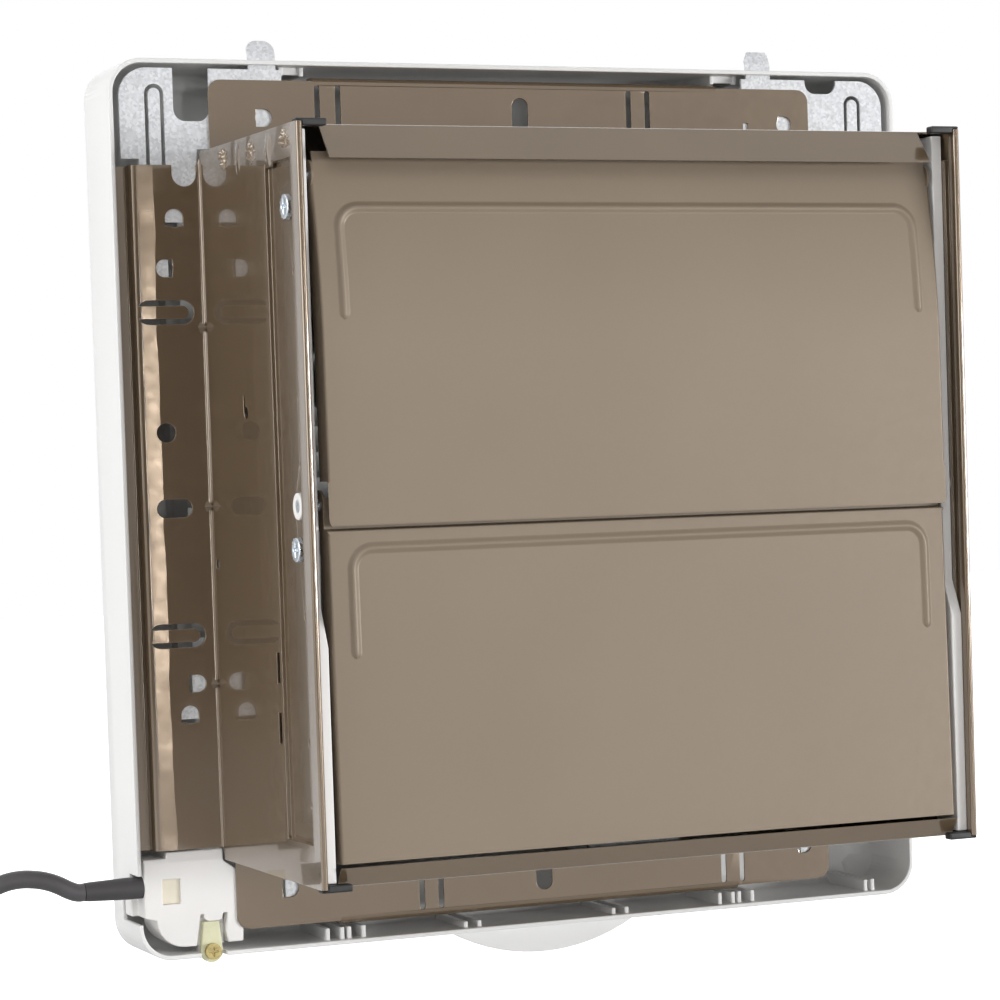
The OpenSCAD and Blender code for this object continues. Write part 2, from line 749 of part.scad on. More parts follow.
module motor_front_shell() {
    color("#8d9093") {
        difference() {
            rod_y(motor_d / 2, shell_split, motor_y1, 0, 0);
            rod_y(stator_r, shell_split - 1, motor_y1 - motor_wall, 0, 0);
            rod_y(bearing_r, motor_y1 - 5, motor_y1 + 1, 0, 0);
            for (a = [30:60:330]) rotate([0, a, 0]) rod_y(3.5, motor_y1 - 5, motor_y1 + 1, 29, 0);
        }
        ring_y(bearing_r, bearing_r + 2, motor_y1 - bearing_l + 1, motor_y1 - motor_wall);
        shell_lugs(shell_split, shell_split + 4);
    }
}

module stator_core() {
    color("#55585c") ring_y(stator_bore, stator_r, core_y0, core_y1);
}

module stator_winding() {
    color("#b4622d") {
        ring_y(stator_bore + 3, stator_r - 3, motor_y0 + 4, core_y0);
        ring_y(stator_bore + 3, stator_r - 3, core_y1, motor_y1 - 3);
    }
}

module rear_bearing() {
    color("#b08d57") ring_y(shaft_d / 2 + run_gap, bearing_r, motor_y0 + motor_wall,
                            motor_y0 + motor_wall + bearing_l);
}

module front_bearing() {
    color("#b08d57") ring_y(shaft_d / 2 + run_gap, bearing_r, motor_y1 - bearing_l, motor_y1);
}

module rotor_core() {
    color("#8a8c8f") ring_y(shaft_d / 2 + run_gap, stator_bore - air_gap, core_y0 - 1, core_y1 + 1);
}

module rotor_shaft() {
    color("#d5d7da") difference() {
        rod_y(shaft_d / 2, shaft_y0 + 0.5, shaft_y1, 0, 0);
        rod_x(drive_pin_d / 2 + run_gap, -shaft_d, shaft_d, hub_y0 + 5, 0);
    }
}

module fan_blade() {
    half_chord = (blade_y1 - blade_y0 - 2) / sin(blade_pitch) / 2;
    root = hub_d / 2 - 7;
    translate([0, (blade_y0 + blade_y1) / 2, 0]) rotate([0, 0, blade_pitch])
        plate_xz(-1, 2) intersection() {
            circle(wheel_d / 2, $fn = 96);
            polygon([
                [-0.7 * half_chord, root], [0.7 * half_chord, root], [half_chord, 2.2 * root],
                [half_chord, wheel_d], [-half_chord, wheel_d], [-half_chord, 2.2 * root]
            ]);
        }
}

module fan_wheel() {
    color("#dfe3e2") {
        difference() {
            union() {
                difference() {
                    rod_y(hub_d / 2, hub_y0, hub_y1, 0, 0);
                    rod_y(hub_d / 2 - 2.2, hub_y0 - 1, hub_y1 - 2.5, 0, 0);
                }
                rod_y(boss_r, hub_y0 + 2, hub_y1 - 1, 0, 0);
                for (i = [0:5]) rotate([0, i * 60, 0])
                    slab([-1, 1], [hub_y0 + 6, hub_y1 - 1], [boss_r - 1, hub_d / 2 - 1]);
            }
            rod_y(shaft_d / 2 + run_gap, hub_y0 - 1, hub_y1 + 1, 0, 0);
            slab([-boss_r + 1, boss_r - 1], [hub_y0, hub_y0 + 5 + drive_pin_d / 2 + run_gap],
                 [-drive_pin_d / 2 - run_gap, drive_pin_d / 2 + run_gap]);
        }
        for (i = [0:blade_count - 1]) rotate([0, i * 360 / blade_count + 18, 0]) fan_blade();
    }
}

module drive_pin() {
    color(zinc) rod_x(drive_pin_d / 2, -boss_r + 1.5, boss_r - 1.5, hub_y0 + 5, 0);
}

module spinner_nut() {
    color(white) difference() {
        union() {
            rod_y(nut_r, hub_y1, hub_y1 + 4, 0, 0);
            translate([0, hub_y1 + 4, 0]) rotate([-90, 0, 0]) cylinder(r1 = nut_r, r2 = 8, h = 6);
            for (i = [0:7]) rotate([0, i * 45, 0])
                rod_y(1.6, hub_y1, hub_y1 + 4, nut_r - 0.4, 0);
        }
        rod_y(shaft_d / 2 + run_gap, hub_y1 - 1, shaft_y1 + 0.5, 0, 0);
    }
}

module capacitor() {
    color("#3b3f46") slab([-cap_w / 2, cap_w / 2], [motor_y0, motor_y0 + cap_t], [cap_z0, cap_z1]);
}

module capacitor_leads() {
    color("#8c2f2a") for (x = [-cap_lead_x, cap_lead_x])
        rod_z(cap_lead_d / 2, stator_r - 1.4, cap_z0, x, exit_y);
}

// Strap bent round the capacitor and the motor strap
module capacitor_clip() {
    mid = (cap_z0 + cap_z1) / 2;
    color(zinc) difference() {
        slab([-cap_w / 2 - 1, cap_w / 2 + 1], [strap_y - 1, motor_y0 + cap_t + 1], [mid - 5, mid + 5]);
        slab([-cap_w / 2, cap_w / 2], [strap_y, motor_y0 + cap_t], [mid - 6, mid + 6]);
    }
}

module lead_grommet() {
    outer_x = -motor_d / 2 - 2;
    color(dark) difference() {
        union() {
            difference() {
                rod_x(grommet_r, outer_x, -30, exit_y, exit_z);
                rod_y(stator_r, exit_y - 8, exit_y + 8, 0, 0);
            }
            difference() {
                rod_x(grommet_r + 1.2, outer_x, -30, exit_y, exit_z);
                rod_y(motor_d / 2, exit_y - 8, exit_y + 8, 0, 0);
            }
        }
        rod_x(motor_lead_d / 2, outer_x - 1, -29, exit_y, exit_z);
    }
}

module motor_lead() {
    color("#4a4a4e") tube(motor_lead_path, motor_lead_d / 2, 8, [0.3, 0.2, 1]);
}

// Front outline of the terminal block
module block_shape() {
    polygon([
        [term_x0, term_top - 2.1], [term_x0 + 8, term_top - 2.1], [term_x0 + 8, term_top],
        [term_x1 - 4.6, term_top], [term_x1 - 4.6, term_top - 4.2], [term_x1, term_top - 7.4],
        [term_x1, term_low + 7.8], [term_x1 + 2, term_low + 5.2], [term_x1 + 1.8, term_low + 0.6],
        [term_x1 - 3.6, term_low + 0.6], [term_x1 - 4.3, term_low + 4.8],
        [clamp_x + 5.7, arm_z], [clamp_x + 4.2, arm_z], [clamp_x + 3.6, arm_z - 2.2],
        [clamp_x + 2.4, arm_z - 2.6], [clamp_x - 1.4, arm_z - 2.6], [clamp_x - 2.8, arm_z - 1.6],
        [clamp_x - 2.8, arm_z], [clamp_x - 4, arm_z], [clamp_x - 5.7, term_low + 0.2],
        for (a = [90:-15:0]) [term_x0 + 4 + block_corner_r * (1 - cos(a)),
                              arm_z - 1 - block_corner_r * sin(a)],
        [term_x0, arm_z]
    ]);
}

module terminal_block() {
    color(white) difference() {
        union() {
            plate_xz(block_y, term_y1 - block_y) block_shape();
            slab([term_x0 - 2.3, term_x0], [block_y + 9, term_y1], [arm_z, arm_z + 6.6]);
            slab([clamp_x - 6, clamp_x + 5.2], [block_y + 4, term_y1], [term_low, arm_z + 0.6]);
            slab([clamp_x - clamp_r, clamp_x + clamp_r], [clamp_y + clamp_t, clamp_boss_y],
                 [clamp_z - 2.6, arm_z]);
            slab([term_x1 - 1, term_x1 + 7.1], [block_y, block_y + 2.4], [arm_z - 1.4, arm_z + 6.6]);
        }
        slab([window_x, window_x + window_w], [block_y - 1, block_y + 3], [window_z, window_z + window_h]);
        slab([term_x0 + 13.6, term_x1 - 3.4], [block_y + 7, term_y1 + 1], [arm_z + 2.6, term_top - 2.8]);
        rod_y(clamp_screw_d / 2 + run_gap, block_y - 1, term_y1 + 1, clamp_x, clamp_z);
    }
}

module terminal_insert() {
    play = 0.1;
    color("#d8cdb4") slab([window_x + play, window_x + window_w - play], [block_y + 1.2, block_y + 3],
                          [window_z + play, window_z + window_h - play]);
}

module cord_clamp() {
    color("#c9c8a4") difference() {
        plate_xz(clamp_y, clamp_t) {
            translate([clamp_x, clamp_z]) circle(clamp_r);
            polygon([
                [clamp_x - clamp_r, clamp_z], [clamp_x + clamp_r, clamp_z],
                [clamp_x + 2.9, arm_z - 2.8], [clamp_x - 2.9, arm_z - 2.8]
            ]);
        }
        rod_y(clamp_screw_d / 2 + run_gap, block_y - 1, block_y + 6, clamp_x, clamp_z);
    }
}

module clamp_screw() {
    cross_l = 1.7;
    cross_w = 0.4;
    color("#c2b170") difference() {
        union() {
            rod_y(2.8, block_y - 0.6, clamp_y, clamp_x, clamp_z);
            rod_y(clamp_screw_d / 2, clamp_y, clamp_boss_y - 0.4, clamp_x, clamp_z);
        }
        for (s = [[cross_l, cross_w], [cross_w, cross_l]])
            slab([clamp_x - s[0], clamp_x + s[0]], [block_y - 1, block_y],
                 [clamp_z - s[1], clamp_z + s[1]]);
    }
}

module cord_sleeve() {
    color(dark) translate([term_x0, cord_y, cord_z]) rotate([0, -90, 0])
        cylinder(r1 = sleeve_r, r2 = cord_d / 2 + 0.2, h = term_x0 - sleeve_end);
}

module power_cord() {
    color(dark) tube(cord_path, cord_d / 2, 10, [0, 1, 0.02]);
}

// A point of the coil after t turns: in over half the turns, then out a layer nearer the room
function coil_radius(t) = t < coil_turns / 2
    ? coil_r - turn_step * t
    : coil_in + turn_step * (t - coil_turns / 2);
function coil_layer(t) =
    let (s = min(1, max(0, 2 * (t - coil_turns / 2) + 0.5))) s * s * (3 - 2 * s);
function coil_point(t) = [
    coil_x + coil_radius(t) * cos(180 + 360 * t),
    coil_y + turn_step * coil_layer(t),
    coil_z + coil_radius(t) * sin(180 + 360 * t)
];
coil_rings = 24;
coil_path = concat(
    [coil_point(0) + [0, 0, cord_d]],
    [for (i = [0:coil_rings * coil_turns]) coil_point(i / coil_rings)],
    [coil_point(coil_turns) - [0, 0, plug_lead / 2], coil_point(coil_turns) - [0, 0, plug_lead]]
);
coil_gap = min([for (i = [0:len(coil_path) - 1], j = [i + 7:len(coil_path) - 1])
    norm(coil_path[i] - coil_path[j])]) - cord_d;

module cord_coil() {
    color(dark) tube(coil_path, cord_d / 2, 6, [0, 1, 0.02]);
}

module cord_tie() {
    slack = 0.3;
    r0 = coil_in + turn_step / 4 - cord_d / 2 - slack;
    r1 = coil_r - turn_step / 4 + cord_d / 2 + slack;
    y0 = coil_y - cord_d / 2 - slack;
    y1 = coil_y + turn_step + cord_d / 2 + slack;
    wall = 0.9;
    color("#1c1c1e") difference() {
        slab([coil_x - 2.5, coil_x + 2.5], [y0 - wall, y1 + wall],
             [coil_z + r0 - wall, coil_z + r1 + wall]);
        slab([coil_x - 3, coil_x + 3], [y0, y1], [coil_z + r0, coil_z + r1]);
    }
}

module plug_body() {
    plug_y = coil_y + turn_step;
    plug_x = coil_x - coil_r;
    color(dark) {
        translate([plug_x, plug_y, plug_top - 16]) cylinder(r1 = 6, r2 = cord_d / 2 + 0.3, h = 16);
        slab([plug_x - 12, plug_x + 12], [plug_y - 7, plug_y + 7], [plug_top - 42, plug_top - 15]);
    }
}

module plug_pins() {
    plug_y = coil_y + turn_step;
    plug_x = coil_x - coil_r;
    color("#d0c9a8") for (s = [-1, 1])
        slab([plug_x + s * 6.35 - 0.75, plug_x + s * 6.35 + 0.75], [plug_y - 3.2, plug_y + 3.2],
             [plug_top - 59, plug_top - 42]);
}

// Section of a blade: its outer line, and the same line one thickness further in
module blade_section(face) {
    polygon(concat(face, [for (i = [len(face) - 1:-1:0]) face[i] + [blade_t, 0]]));
}

module blade_fold(face, z0, z1) {
    inner = [for (i = [len(face) - 1:-1:0]) face[i] + [fold_depth, 0]];
    intersection() {
        plate_yz(-blade_half, -tab_x) polygon(concat(face, inner));
        slab([-blade_half - 1, -tab_x + 1], [front, front + 24], [z0, z1]);
    }
}

// A raised bead in the shape of an upside-down U, on a face that leans back by lean degrees
module bead(y, z, lean, leg) {
    w = blade_half - 5.9;
    r = 9;
    translate([0, y, z]) rotate([lean, 0, 0]) translate([0, 0.2, 0]) rotate([90, 0, 0])
        linear_extrude(bead_h + 0.2) difference() {
            union() {
                translate([-w + r, -r]) square([2 * (w - r), r]);
                translate([-w, -leg]) square([2 * w, leg - r]);
                for (s = [-1, 1]) translate([s * (w - r), -r]) circle(r);
            }
            translate([-w + r, -r]) square([2 * (w - r), r - bead_w]);
            translate([-w + bead_w, -leg - 1]) square([2 * (w - bead_w), leg - r + 1]);
            for (s = [-1, 1]) translate([s * (w - r), -r]) circle(r - bead_w);
        }
}

module ear(z, x0, x1) {
    difference() {
        rod_x(5, x0, x1, hinge_y, z);
        rod_x(pin_d / 2 + run_gap, x0 - 1, x1 + 1, hinge_y, z);
    }
}

module crank_tab(z) {
    difference() {
        union() {
            slab([tab_x, blade_half], [hinge_y, crank_y], [z - 3.5, z + 3.5]);
            rod_x(3.5, tab_x, blade_half, crank_y, z);
        }
        rod_x(pin_d / 2 + run_gap, tab_x - 1, blade_half + 1, hinge_y, z);
        rod_x(crank_pin_d / 2 + run_gap, tab_x - 1, blade_half + 1, crank_y, z);
    }
}

module blade(face, z, fold_z0, fold_z1) {
    plate_yz(-blade_half, blade_half) blade_section(face);
    for (s = [0, 1]) mirror([s, 0, 0]) difference() {
        union() {
            blade_fold(face, fold_z0, fold_z1);
            ear(z, -blade_half, -tab_x);
        }
        rod_x(pin_d / 2 + run_gap, -blade_half - 1, -tab_x + 1, hinge_y, z);
    }
    crank_tab(z);
}

lean_top = atan((upper_face[0][0] - upper_face[1][0]) / (upper_face[0][1] - upper_face[1][1]));

module upper_shutter() {
    color("#96887a") {
        blade(upper_face, upper_z, 8, upper_face[0][1]);
        // Top edge that tucks up behind the hood
        plate_yz(-hood_half + 1, hood_half - 1) blade_section([
            upper_face[0] + [tuck * tan(lean_top), tuck], upper_face[0]
        ]);
        bead(upper_face[1][0] + (upper_bead_z - upper_face[1][1]) * tan(lean_top), upper_bead_z,
             -lean_top, 25);
    }
}

module lower_shutter() {
    run = lower_face[1][0] - lower_face[2][0];
    lean_low = atan(run / (lower_face[1][1] - lower_face[2][1]));
    color("#96887a") {
        blade(lower_face, lower_z, lower_face[2][1], 0);
        bead(lower_face[1][0] - (lower_face[1][1] - lower_bead_z) * tan(lean_low), lower_bead_z,
             -lean_low, 35.5);
    }
}

// The hinge pins of one blade, whose outer ends lie at out, and its crank pin
module hinge_pins(z, out) {
    color(zinc) {
        for (s = [0, 1]) mirror([s, 0, 0]) {
            rod_x(pin_d / 2, -out, -tab_x, hinge_y, z);
            rod_x(pin_d / 2 + 0.3, -tab_x, -tab_x + 1.2, hinge_y, z);
        }
        rod_x(crank_pin_d / 2, link_x - free_gap - 1, blade_half, crank_y, z);
        rod_x(crank_pin_d / 2 + 1, link_x - free_gap - 1, link_x - free_gap, crank_y, z);
        rod_x(crank_pin_d / 2 + 1, blade_half, blade_half + 0.6, crank_y, z);
    }
}

module upper_hinge_pins() { hinge_pins(upper_z, rail_face - 0.1); }
module lower_hinge_pins() { hinge_pins(lower_z, half_w - 0.6); }

module shutter_link() {
    foot = link_slot_l + 8;
    color(zinc) difference() {
        union() {
            slab([link_x, link_x + link_t], [crank_y - link_w / 2, crank_y + link_w / 2],
                 [link_low, upper_z]);
            rod_x(link_w / 2, link_x, link_x + link_t, crank_y, upper_z);
            slab([link_x, link_x + link_t], [crank_y - link_w / 2, crank_y - link_w / 2 + foot],
                 [link_low, link_low + 10]);
        }
        rod_x(crank_pin_d / 2 + run_gap, link_x - 1, link_x + link_t + 1, crank_y, upper_z);
        rod_x(crank_pin_d / 2 + free_gap, link_x - 1, link_x + link_t + 1, crank_y, lower_z);
        slab([link_x - 1, link_x + link_t + 1],
             [crank_y - crank_pin_d / 2 - free_gap, crank_y - crank_pin_d / 2 - free_gap + link_slot_l],
             [plunger_pin_z - crank_pin_d / 2 - slot_play, plunger_pin_z + crank_pin_d / 2 + slot_play]);
    }
}

module actuator_housing() {
    color("#d9d5c8") difference() {
        slab([act_x0, act_x1], [crank_y - act_w / 2, crank_y + act_w / 2], [act_top - act_h, act_top]);
        rod_z(rod_d / 2 + run_gap, act_top - act_h + 4, act_top + 1, plunger_x, crank_y);
        for (z = act_rivet_zs) rod_x(act_rivet_d / 2, act_x1 - 4, act_x1 + 1, crank_y, z);
    }
}

module actuator_rivets() {
    color(zinc) for (z = act_rivet_zs) {
        rod_x(act_rivet_d / 2, act_x1 - 4, channel_face, crank_y, z);
        rod_x(act_rivet_d, channel_face, channel_face + 1.1, crank_y, z);
    }
}

// Plunger with a fork whose pin runs in the slot of the link
module actuator_plunger() {
    rod_low = act_top - 16;
    fork_y = [crank_y - 2.4, crank_y + 2.4];
    color("#b9bcc0") {
        rod_z(rod_d / 2, rod_low, spring_top + 0.5, plunger_x, crank_y);
        rod_z(5.5, spring_top, spring_top + 1.4, plunger_x, crank_y);
        slab([fork_x0, fork_x1], fork_y, [spring_top + 1.3, fork_floor]);
        for (x = [fork_x0, fork_x1 - fork_t]) slab([x, x + fork_t], fork_y, [fork_floor - 0.1, fork_top]);
        rod_x(crank_pin_d / 2, fork_x0, fork_x1, crank_y, plunger_pin_z);
    }
}

spring_wire = 1;
spring_turns = 7;
spring_r = rod_d / 2 + 1.4;
spring_path = [for (i = [0:8 * spring_turns])
    let (a = 45 * i, s = i / (8 * spring_turns))
    [plunger_x + spring_r * cos(a), crank_y + spring_r * sin(a),
     act_top + spring_wire + s * (spring_top - act_top - 2 * spring_wire)]];

module return_spring() {
    color("#c9ccd0") tube(spring_path, spring_wire / 2, 6, [0, 0, 1]);
}

// Outline of the cover, grown or shrunk by d
module cover_shape(d) {
    translate([0, -cover_drop]) round_rect(cover_w / 2 + d, cover_h / 2 + d, cover_r + d);
}

// A pair of stiffening ribs on a wall of the cover
module rib_pair(x0, x1, z0, z1, y0) {
    for (x = [x0, x1 - cover_wall]) slab([x, x + cover_wall], [y0, bezel_y - 3], [z0, z1]);
}

// A short web that ties the ribs of a pair under the top wall
module rib_web(x0, x1, y0) {
    slab([x0 + 0.2, x1 - 0.2], [y0 + 1, y0 + 2.4], [flange_top + 2.6, cover_in_top + 0.4]);
}

module cover_frame() {
    bottom = cover_in_bottom;
    color(white) {
        difference() {
            union() {
                plate_xz(rim_y, bezel_y - bevel + cover_wall - rim_y) cover_shape(0);
                hull() {
                    plate_xz(bezel_y - bevel + cover_wall - 0.1, 0.1) cover_shape(0);
                    plate_xz(cover_d - 0.1, 0.1) cover_shape(-bevel);
                }
                grip();
            }
            plate_xz(rim_y - 1, bezel_y - bevel + 1 - rim_y) cover_shape(-cover_wall);
            hull() {
                plate_xz(bezel_y - bevel - 0.1, 0.1) cover_shape(-cover_wall);
                plate_xz(bezel_y - 0.1, 0.1) cover_shape(-bevel - cover_wall);
            }
            plate_xz(bezel_y - 1, 4) square([grille_w, grille_w], center = true);
            for (s = [-1, 1]) rod_x(hook_slot_r, s * hook_x - hook_slot_w / 2,
                s * hook_x + hook_slot_w / 2, swing_y, swing_z);
            slab([-cover_w / 2 - 1, -cover_in_x + 1], [rim_y - 1, cord_y + sleeve_r + free_gap],
                 [arm_z - 1.8, cord_z + sleeve_r + free_gap]);
            slab([-cover_w / 2 - 1, -cover_in_x + 1], [rim_y, term_y1 + free_gap],
                 [arm_z - 1.8, arm_z + 7.6]);
            slab([clamp_x - clamp_r - free_gap, clamp_x + clamp_r + free_gap],
                 [rim_y - 1, clamp_boss_y + free_gap],
                 [cover_in_bottom - 8, cover_in_bottom + 1]);
        }
        difference() {
            plate_xz(ledge_y, bezel_y - ledge_y + 0.2)
                square([grille_w + 2 * cover_wall, grille_w + 2 * cover_wall], center = true);
            plate_xz(ledge_y - 1, bezel_y - ledge_y + 3) square([grille_w - 8, grille_w - 8], center = true);
            plate_xz(ledge_y + cover_wall, bezel_y - ledge_y + 3)
                square([grille_w, grille_w], center = true);
        }
        rib_pair(-83.6, -76.6, bottom, -flange_top - 2.4, 1);
        rib_pair(-75.6, -68.6, bottom, -flange_top - 2.4, 1);
        rib_pair(-31.4, -24.6, bottom, -flange_top - 4.4, 1);
        rib_pair(26.6, 33.4, bottom, -flange_top - 4.4, 1);
        rib_pair(69.8, 76.8, bottom, -flange_top - 2.4, 1);
        rib_pair(77.8, 84.8, bottom, -flange_top - 2.4, 1);
        rib_pair(131, 135.6, bottom, -flange_top - 2.4, 1);
        rib_pair(-88.8, -79.6, flange_top + 2, cover_in_top, 4.6);
        rib_pair(78, 88.8, flange_top + 2, cover_in_top, 4.6);
        rib_web(-88.8, -79.6, 4.6);
        rib_web(78, 88.8, 4.6);
    }
}

// Lens-shaped finger tab under the cover
module grip() {
    tab_r = 72;
    tab_drop = 9.6;
    low = -cover_h / 2 - cover_drop;
    plate_xz(rim_y + 3, cover_wall) intersection() {
        translate([0, low - tab_drop + tab_r]) circle(tab_r, $fn = 96);
        translate([-60, low - tab_drop - 1]) square([120, tab_drop + 2]);
    }
}

module front_grille() {
    edge = grille_half - grille_gap;
    step = (2 * edge - 8) / slat_count;
    slat_mid = (ledge_y + cover_wall + cover_d) / 2;
    color(white) {
        difference() {
            plate_xz(ledge_y + cover_wall, cover_d - ledge_y - cover_wall)
                square([2 * edge, 2 * edge], center = true);
            plate_xz(ledge_y, cover_d - ledge_y + 1) square([2 * edge - 8, 2 * edge - 8], center = true);
        }
        intersection() {
            plate_xz(ledge_y + cover_wall, cover_d - ledge_y - cover_wall)
                square([2 * edge - 7, 2 * edge - 7], center = true);
            for (i = [0:slat_count - 1])
                translate([0, slat_mid, -edge + 4 + step * (i + 0.5)]) rotate([slat_tilt, 0, 0])
                    cube([2 * edge - 6, slat_w, slat_t], center = true);
        }
        for (x = [-edge / 2, 0, edge / 2])
            slab([x - 1, x + 1], [ledge_y + cover_wall, ledge_y + cover_wall + 4], [-edge + 3, edge - 3]);
    }
}

echo(coil_gap = coil_gap);

side_plate_left();
side_plate_right();
top_plate();
bottom_plate();
hook_bracket_left();
hook_bracket_right();
shutter_rail_left();
shutter_rail_right();
rail_screws();
edge_caps();
orifice_plate();
orifice_collar();
motor_strap();
strap_screws();
motor_bolts();
motor_rear_shell();
motor_front_shell();
stator_core();
stator_winding();
rear_bearing();
front_bearing();
rotor_core();
rotor_shaft();
fan_wheel();
drive_pin();
spinner_nut();
capacitor();
capacitor_leads();
capacitor_clip();
motor_lead();
lead_grommet();
terminal_block();
terminal_insert();
cord_clamp();
clamp_screw();
cord_sleeve();
power_cord();
cord_coil();
cord_tie();
plug_body();
plug_pins();
upper_shutter();
upper_hinge_pins();
lower_shutter();
lower_hinge_pins();
shutter_link();
actuator_housing();
actuator_rivets();
actuator_plunger();
return_spring();
cover_frame();
front_grille();
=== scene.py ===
import math

import bmesh
import bpy
from mathutils import Matrix, Vector, noise
from mathutils.bvhtree import BVHTree


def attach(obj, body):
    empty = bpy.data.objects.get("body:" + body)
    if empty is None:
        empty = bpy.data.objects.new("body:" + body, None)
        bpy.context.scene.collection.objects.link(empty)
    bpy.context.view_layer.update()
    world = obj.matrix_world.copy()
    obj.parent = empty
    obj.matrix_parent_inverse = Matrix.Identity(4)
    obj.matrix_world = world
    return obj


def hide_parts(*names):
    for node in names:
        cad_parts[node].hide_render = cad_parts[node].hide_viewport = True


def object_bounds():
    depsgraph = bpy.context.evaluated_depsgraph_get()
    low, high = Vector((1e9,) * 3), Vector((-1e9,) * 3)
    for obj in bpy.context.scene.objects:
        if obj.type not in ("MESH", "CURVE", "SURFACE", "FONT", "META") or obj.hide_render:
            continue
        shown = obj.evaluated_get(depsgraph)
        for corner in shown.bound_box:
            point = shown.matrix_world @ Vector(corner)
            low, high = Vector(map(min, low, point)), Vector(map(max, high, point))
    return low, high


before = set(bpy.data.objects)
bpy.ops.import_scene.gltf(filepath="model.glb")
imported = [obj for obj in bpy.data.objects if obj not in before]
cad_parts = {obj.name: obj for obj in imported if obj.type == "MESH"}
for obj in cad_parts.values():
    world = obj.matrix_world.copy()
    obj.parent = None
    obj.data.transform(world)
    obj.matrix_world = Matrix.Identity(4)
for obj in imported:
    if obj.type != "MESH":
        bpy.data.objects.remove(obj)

cad_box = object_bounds()
MM = 0.001

# Camera: stands outdoors to the left of the fan, level with its centre, as the photograph was taken.
# The picture is cut a little off the centre of what the lens sees.
camera = bpy.data.objects.new("photo_camera", bpy.data.cameras.new("photo_camera"))
bpy.context.scene.collection.objects.link(camera)
camera.data.sensor_width = 36
camera.data.lens = 119.13
camera.data.shift_x = -0.1
camera.data.shift_y = 0.1
camera.location = (-0.4598, -1.0986, 0.0129)
camera.rotation_euler = [math.radians(turn) for turn in (87.539, 1.785, -23.902)]
bpy.context.scene.camera = camera


# Mains lead: two-core PVC lead, 6.2 mm across. It leaves its sleeve at the lower left, drops beside
# the cover and is put away in a tied coil of four turns that hangs just outside the view.
def tone(red, green, blue):
    """A colour as it shows on a screen, 0 to 255, as the shader wants it."""
    return [(v / 255 / 12.92 if v <= 10 else ((v / 255 + 0.055) / 1.055) ** 2.4)
            for v in (red, green, blue)]


class Finish:
    """A material on Object coordinates, whose patterns are in metres."""

    def __init__(self, name, colour, roughness, metallic=0.0):
        self.material = bpy.data.materials.new(name)
        self.material.use_nodes = True
        self.tree = self.material.node_tree
        self.shader = self.tree.nodes["Principled BSDF"]
        self.colour = colour
        self.set("Base Color", (*colour, 1))
        self.set("Roughness", roughness)
        self.set("Metallic", metallic)
        self.relief = None

    def set(self, socket, value):
        self.shader.inputs[socket].default_value = value

    def node(self, kind, **inputs):
        made = self.tree.nodes.new(kind)
        for socket, value in inputs.items():
            made.inputs[socket.replace("_", " ")].default_value = value
        return made

    def join(self, start, end):
        self.tree.links.new(start, end)

    def place(self, stretch=(1, 1, 1)):
        where = self.node("ShaderNodeTexCoord")
        turn = self.node("ShaderNodeMapping", Scale=stretch)
        self.join(where.outputs["Object"], turn.inputs["Vector"])
        return turn.outputs["Vector"]

    def noise(self, scale, detail=2.0, stretch=(1, 1, 1)):
        made = self.node("ShaderNodeTexNoise", Scale=scale, Detail=detail)
        self.join(self.place(stretch), made.inputs["Vector"])
        return made.outputs["Fac"]

    def cells(self, scale, stretch=(1, 1, 1)):
        made = self.node("ShaderNodeTexVoronoi", Scale=scale)
        self.join(self.place(stretch), made.inputs["Vector"])
        return made.outputs["Color"]

    def spread(self, value, low, high, from_low=0.3, from_high=0.7):
        made = self.node("ShaderNodeMapRange", From_Min=from_low, From_Max=from_high,
                         To_Min=low, To_Max=high)
        self.join(value, made.inputs["Value"])
        return made.outputs["Result"]

    def shade(self, value, darker, lighter, from_low=0.3, from_high=0.7):
        """Varies the colour between darker and lighter shares of itself along value."""
        mix = self.node("ShaderNodeMix")
        mix.data_type = "RGBA"
        mix.inputs[6].default_value = (*[v * darker for v in self.colour], 1)
        mix.inputs[7].default_value = (*[min(1, v * lighter) for v in self.colour], 1)
        self.join(self.spread(value, 0, 1, from_low, from_high), mix.inputs[0])
        self.join(mix.outputs[2], self.shader.inputs["Base Color"])

    def gloss(self, value, low, high):
        self.join(self.spread(value, low, high), self.shader.inputs["Roughness"])

    def bump(self, value, height, strength=1.0):
        made = self.node("ShaderNodeBump", Strength=strength, Distance=height)
        self.join(value, made.inputs["Height"])
        if self.relief:
            self.join(self.relief, made.inputs["Normal"])
        self.relief = made.outputs["Normal"]
        self.join(self.relief, self.shader.inputs["Normal"])


def dress(finish, *nodes):
    """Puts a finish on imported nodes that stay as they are."""
    for name in nodes:
        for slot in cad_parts[name].material_slots:
            slot.material = finish.material


def finish_piece(piece, body, slot, finish, *nodes):
    """Dresses a new piece, lets it ride on a body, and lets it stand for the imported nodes."""
    if piece.name not in bpy.context.scene.collection.objects:
        bpy.context.scene.collection.objects.link(piece)
    piece.data.materials.clear()
    piece.data.materials.append(finish.material)
    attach(piece, body)
    if nodes:
        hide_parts(*nodes)
    return piece


cord_black = Finish("lead_pvc", tone(76, 74, 76), 0.5)
cord_black.shade(cord_black.noise(60), 0.85, 1.15)
cord_black.gloss(cord_black.noise(900), 0.44, 0.56)
cord_black.bump(cord_black.noise(2500), 0.00004, 0.4)

